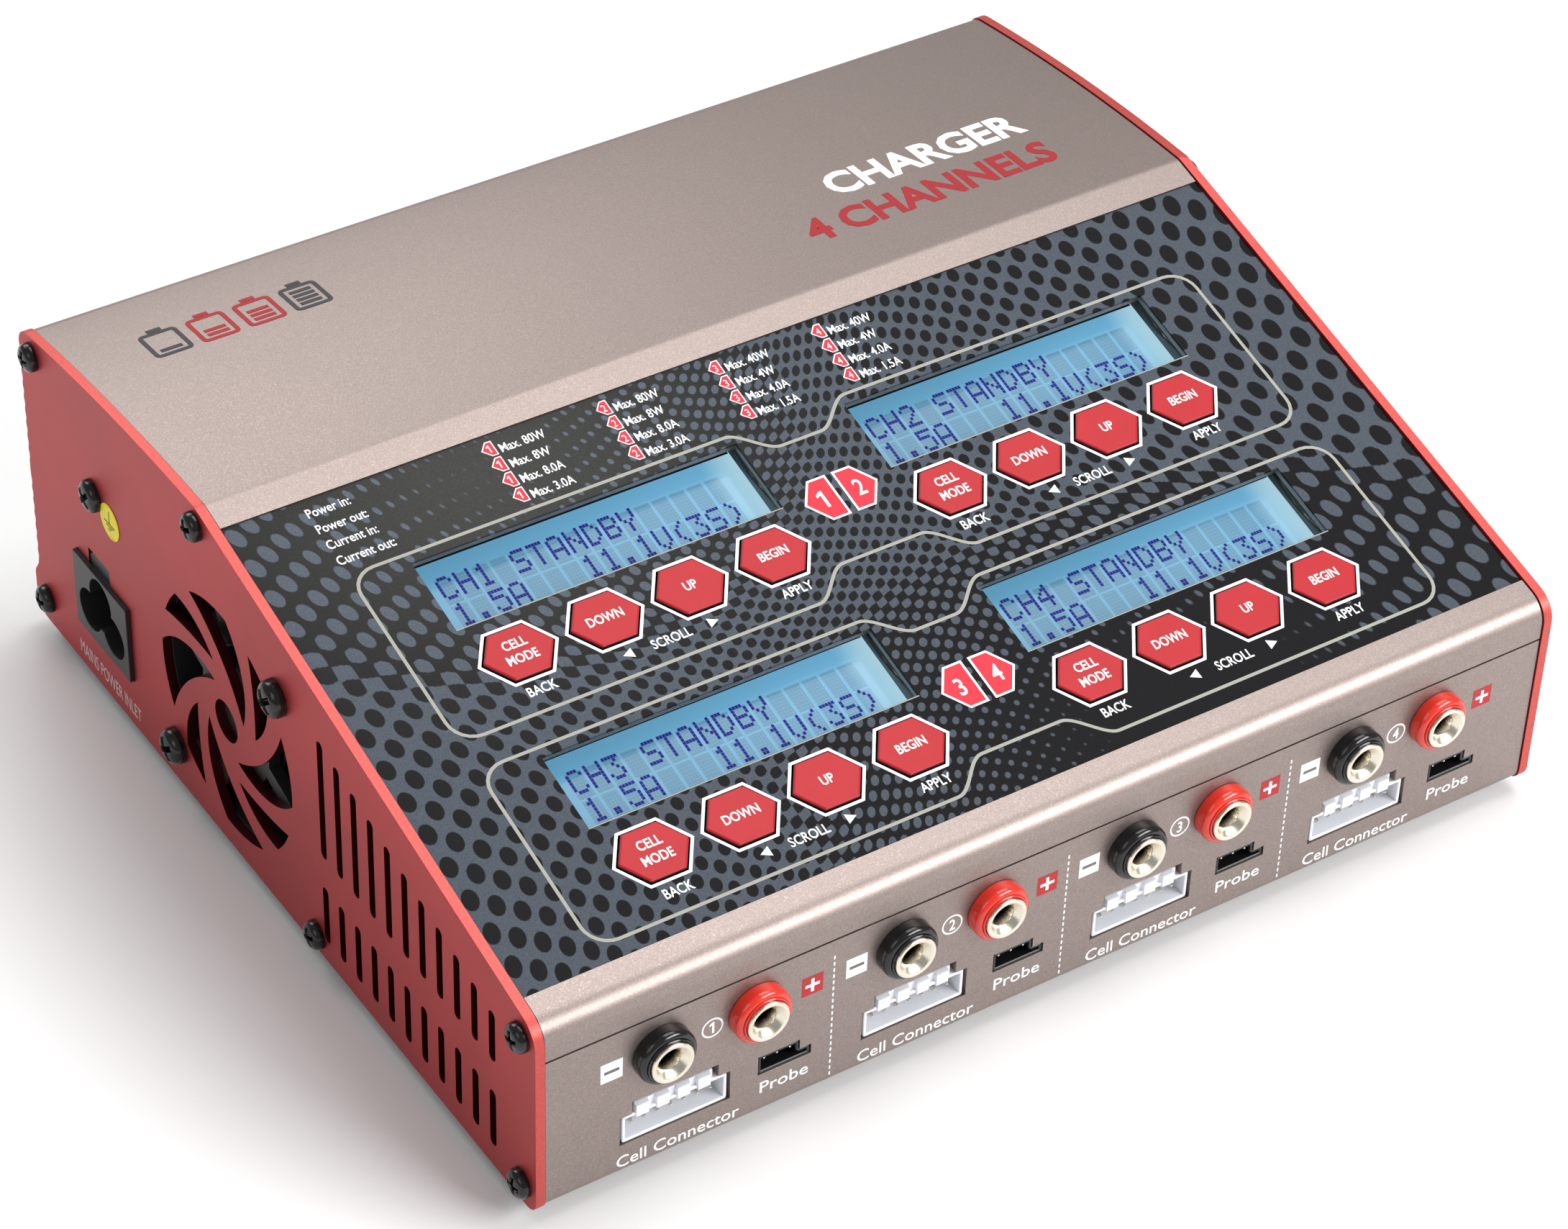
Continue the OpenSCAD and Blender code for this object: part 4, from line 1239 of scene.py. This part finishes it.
# Marks of the socket panel and of the deck, in millimetres
MINUS_DX, PLUS_DX = -18.87, 19.18
SIGN_HALF, BAR_HALF, BAR_W = 2.05, 1.4, 0.3
DASH_LOW, DASH_HIGH, DASH_PITCH, DASH = 2.4, 29.1, 1.38, 0.75
DECK_SUNK = -0.04 * MM
BATTERY_X, BATTERY_PITCH, BATTERY_W, BATTERY_Y = -87.5, 9.2, 6.6, 42.0


class CHARGER_OT_panel_marks(ChargerOperator, bpy.types.Operator):
    """Print the marks on the socket panel, the left plate and the deck"""

    bl_idname = "charger.panel_marks"
    bl_label = "Panel marks"

    def execute(self, context):
        white = ink("panel_white", self.colours.white_ink)
        marks = Print(PANEL, self.sizes.ink)
        for channel, x in CHANNEL_X.items():
            self.channel(marks, channel, x)
        pitch = CHANNEL_X[2] - CHANNEL_X[1]
        for x in (-pitch, 0, pitch):
            for i in range(math.ceil((DASH_HIGH - DASH_LOW) / DASH_PITCH)):
                z = DASH_LOW + i * DASH_PITCH
                marks.stroke((x, z), (x, z + DASH), 0.3)
        inks = [white, ink("panel_red", (0.42, 0.03, 0.035)), ink("panel_grey", (0.16, 0.135, 0.13))]
        marks.piece("panel_marks", "shell_metal", inks)
        marks = Print(LEFT, self.sizes.ink)
        marks.words("MAINS POWER INLET", (-150.2, 3.7), 3.2, squeeze=0.58)
        marks.piece("plate_marks", "plate_metal", [ink("plate_ink", (0.62, 0.52, 0.50))])
        inks = [white, ink("deck_red", (0.33, 0.02, 0.025)), ink("deck_grey", (0.045, 0.045, 0.05))]
        self.deck().piece("deck_marks", "shell_metal", inks)
        return {"FINISHED"}

    def channel(self, marks, channel, x):
        """Number, signs and captions of one channel on the socket panel."""
        marks.ribbon(arc_points((x, JACK_Z), 1.9, 0, 350, 35), 0.32)
        marks.digit(channel, (x, JACK_Z), 2.4, weight=0.05)
        minus, plus, lift = x + MINUS_DX, x + PLUS_DX, self.sizes.ink
        marks.patch(square(minus, JACK_Z, SIGN_HALF))
        marks.patch(square(plus, JACK_Z, SIGN_HALF), 1)
        marks.stroke((minus - BAR_HALF, JACK_Z), (minus + BAR_HALF, JACK_Z), 0.62, 2, lift)
        w, r = BAR_W, BAR_HALF
        cross = [(w, w), (w, r), (-w, r), (-w, w), (-r, w), (-r, -w), (-w, -w), (-w, -r), (w, -r), (w, -w),
                 (r, -w), (r, w)]
        marks.patch([(plus + dx, JACK_Z + dz) for dx, dz in cross], 0, lift)
        marks.words("Cell Connector", (x - 6.2, 3.6), 2.55, squeeze=1.06, weight=0.02)
        marks.words("Probe", (x + 14.2, 6.5), 2.55, squeeze=1.15, weight=0.02)

    def deck(self):
        """Words and a row of four batteries on the crowned deck."""
        def bend(point):
            sunk = CROWN_R - math.sqrt(CROWN_R ** 2 - point.y ** 2)
            return Vector((point.x, point.y, point.z - sunk))
        marks = Print(DECK, 0.1 * MM, bend)
        marks.words("CHARGER", (61.5, 25.6), 7.3, 0, DECK_SUNK, squeeze=0.93, weight=0.32)
        marks.words("4 CHANNELS", (56.0, 14.4), 7.0, 1, DECK_SUNK, squeeze=0.95, weight=0.30)
        for i, layer in enumerate((2, 1, 1, 2)):
            x, y = BATTERY_X + i * BATTERY_PITCH, BATTERY_Y
            marks.ribbon(rounded(rectangle(x, y, x + BATTERY_W, y + 7.6), 0.8), 0.85, layer, DECK_SUNK)
            marks.patch(rectangle(x + 1.9, y + 8.2, x + 4.7, y + 9.2), layer, DECK_SUNK)
            for bar in range(i + 1):
                foot = y + 1.1 + bar * 1.45
                marks.patch(rectangle(x + 1.2, foot, x + 5.4, foot + 0.9), layer, DECK_SUNK)
        return marks


OPERATORS = (CHARGER_OT_stage, CHARGER_OT_shells, CHARGER_OT_plates, CHARGER_OT_film, CHARGER_OT_keys,
             CHARGER_OT_displays, CHARGER_OT_jacks, CHARGER_OT_sockets, CHARGER_OT_inlets, CHARGER_OT_fan,
             CHARGER_OT_fasteners, CHARGER_OT_inside, CHARGER_OT_panel_marks)
GROUPS = {"charger_sizes": ChargerSizes, "charger_colours": ChargerColours, "charger_stage": ChargerStage}


class CHARGER_PT_build(bpy.types.Panel):
    """Panel in the sidebar with the charger's values and operators"""

    bl_idname = "CHARGER_PT_build"
    bl_label = "Balance charger"
    bl_space_type = "VIEW_3D"
    bl_region_type = "UI"
    bl_category = "Charger"

    def draw(self, context):
        for name, group in GROUPS.items():
            box = self.layout.box()
            for value in group.__annotations__:
                box.prop(getattr(context.scene, name), value)
        for operator in OPERATORS:
            self.layout.operator(operator.bl_idname)


def register():
    for group in (*GROUPS.values(), *OPERATORS, CHARGER_PT_build):
        bpy.utils.register_class(group)
    for name, group in GROUPS.items():
        setattr(bpy.types.Scene, name, PointerProperty(type=group))


def unregister():
    for name in GROUPS:
        delattr(bpy.types.Scene, name)
    for group in (CHARGER_PT_build, *OPERATORS, *GROUPS.values()):
        bpy.utils.unregister_class(group)


def main():
    """Runs every operator."""
    register()
    for operator in OPERATORS:
        family, name = operator.bl_idname.split(".")
        getattr(getattr(bpy.ops, family), name)()


if __name__ == "__main__":
    main()
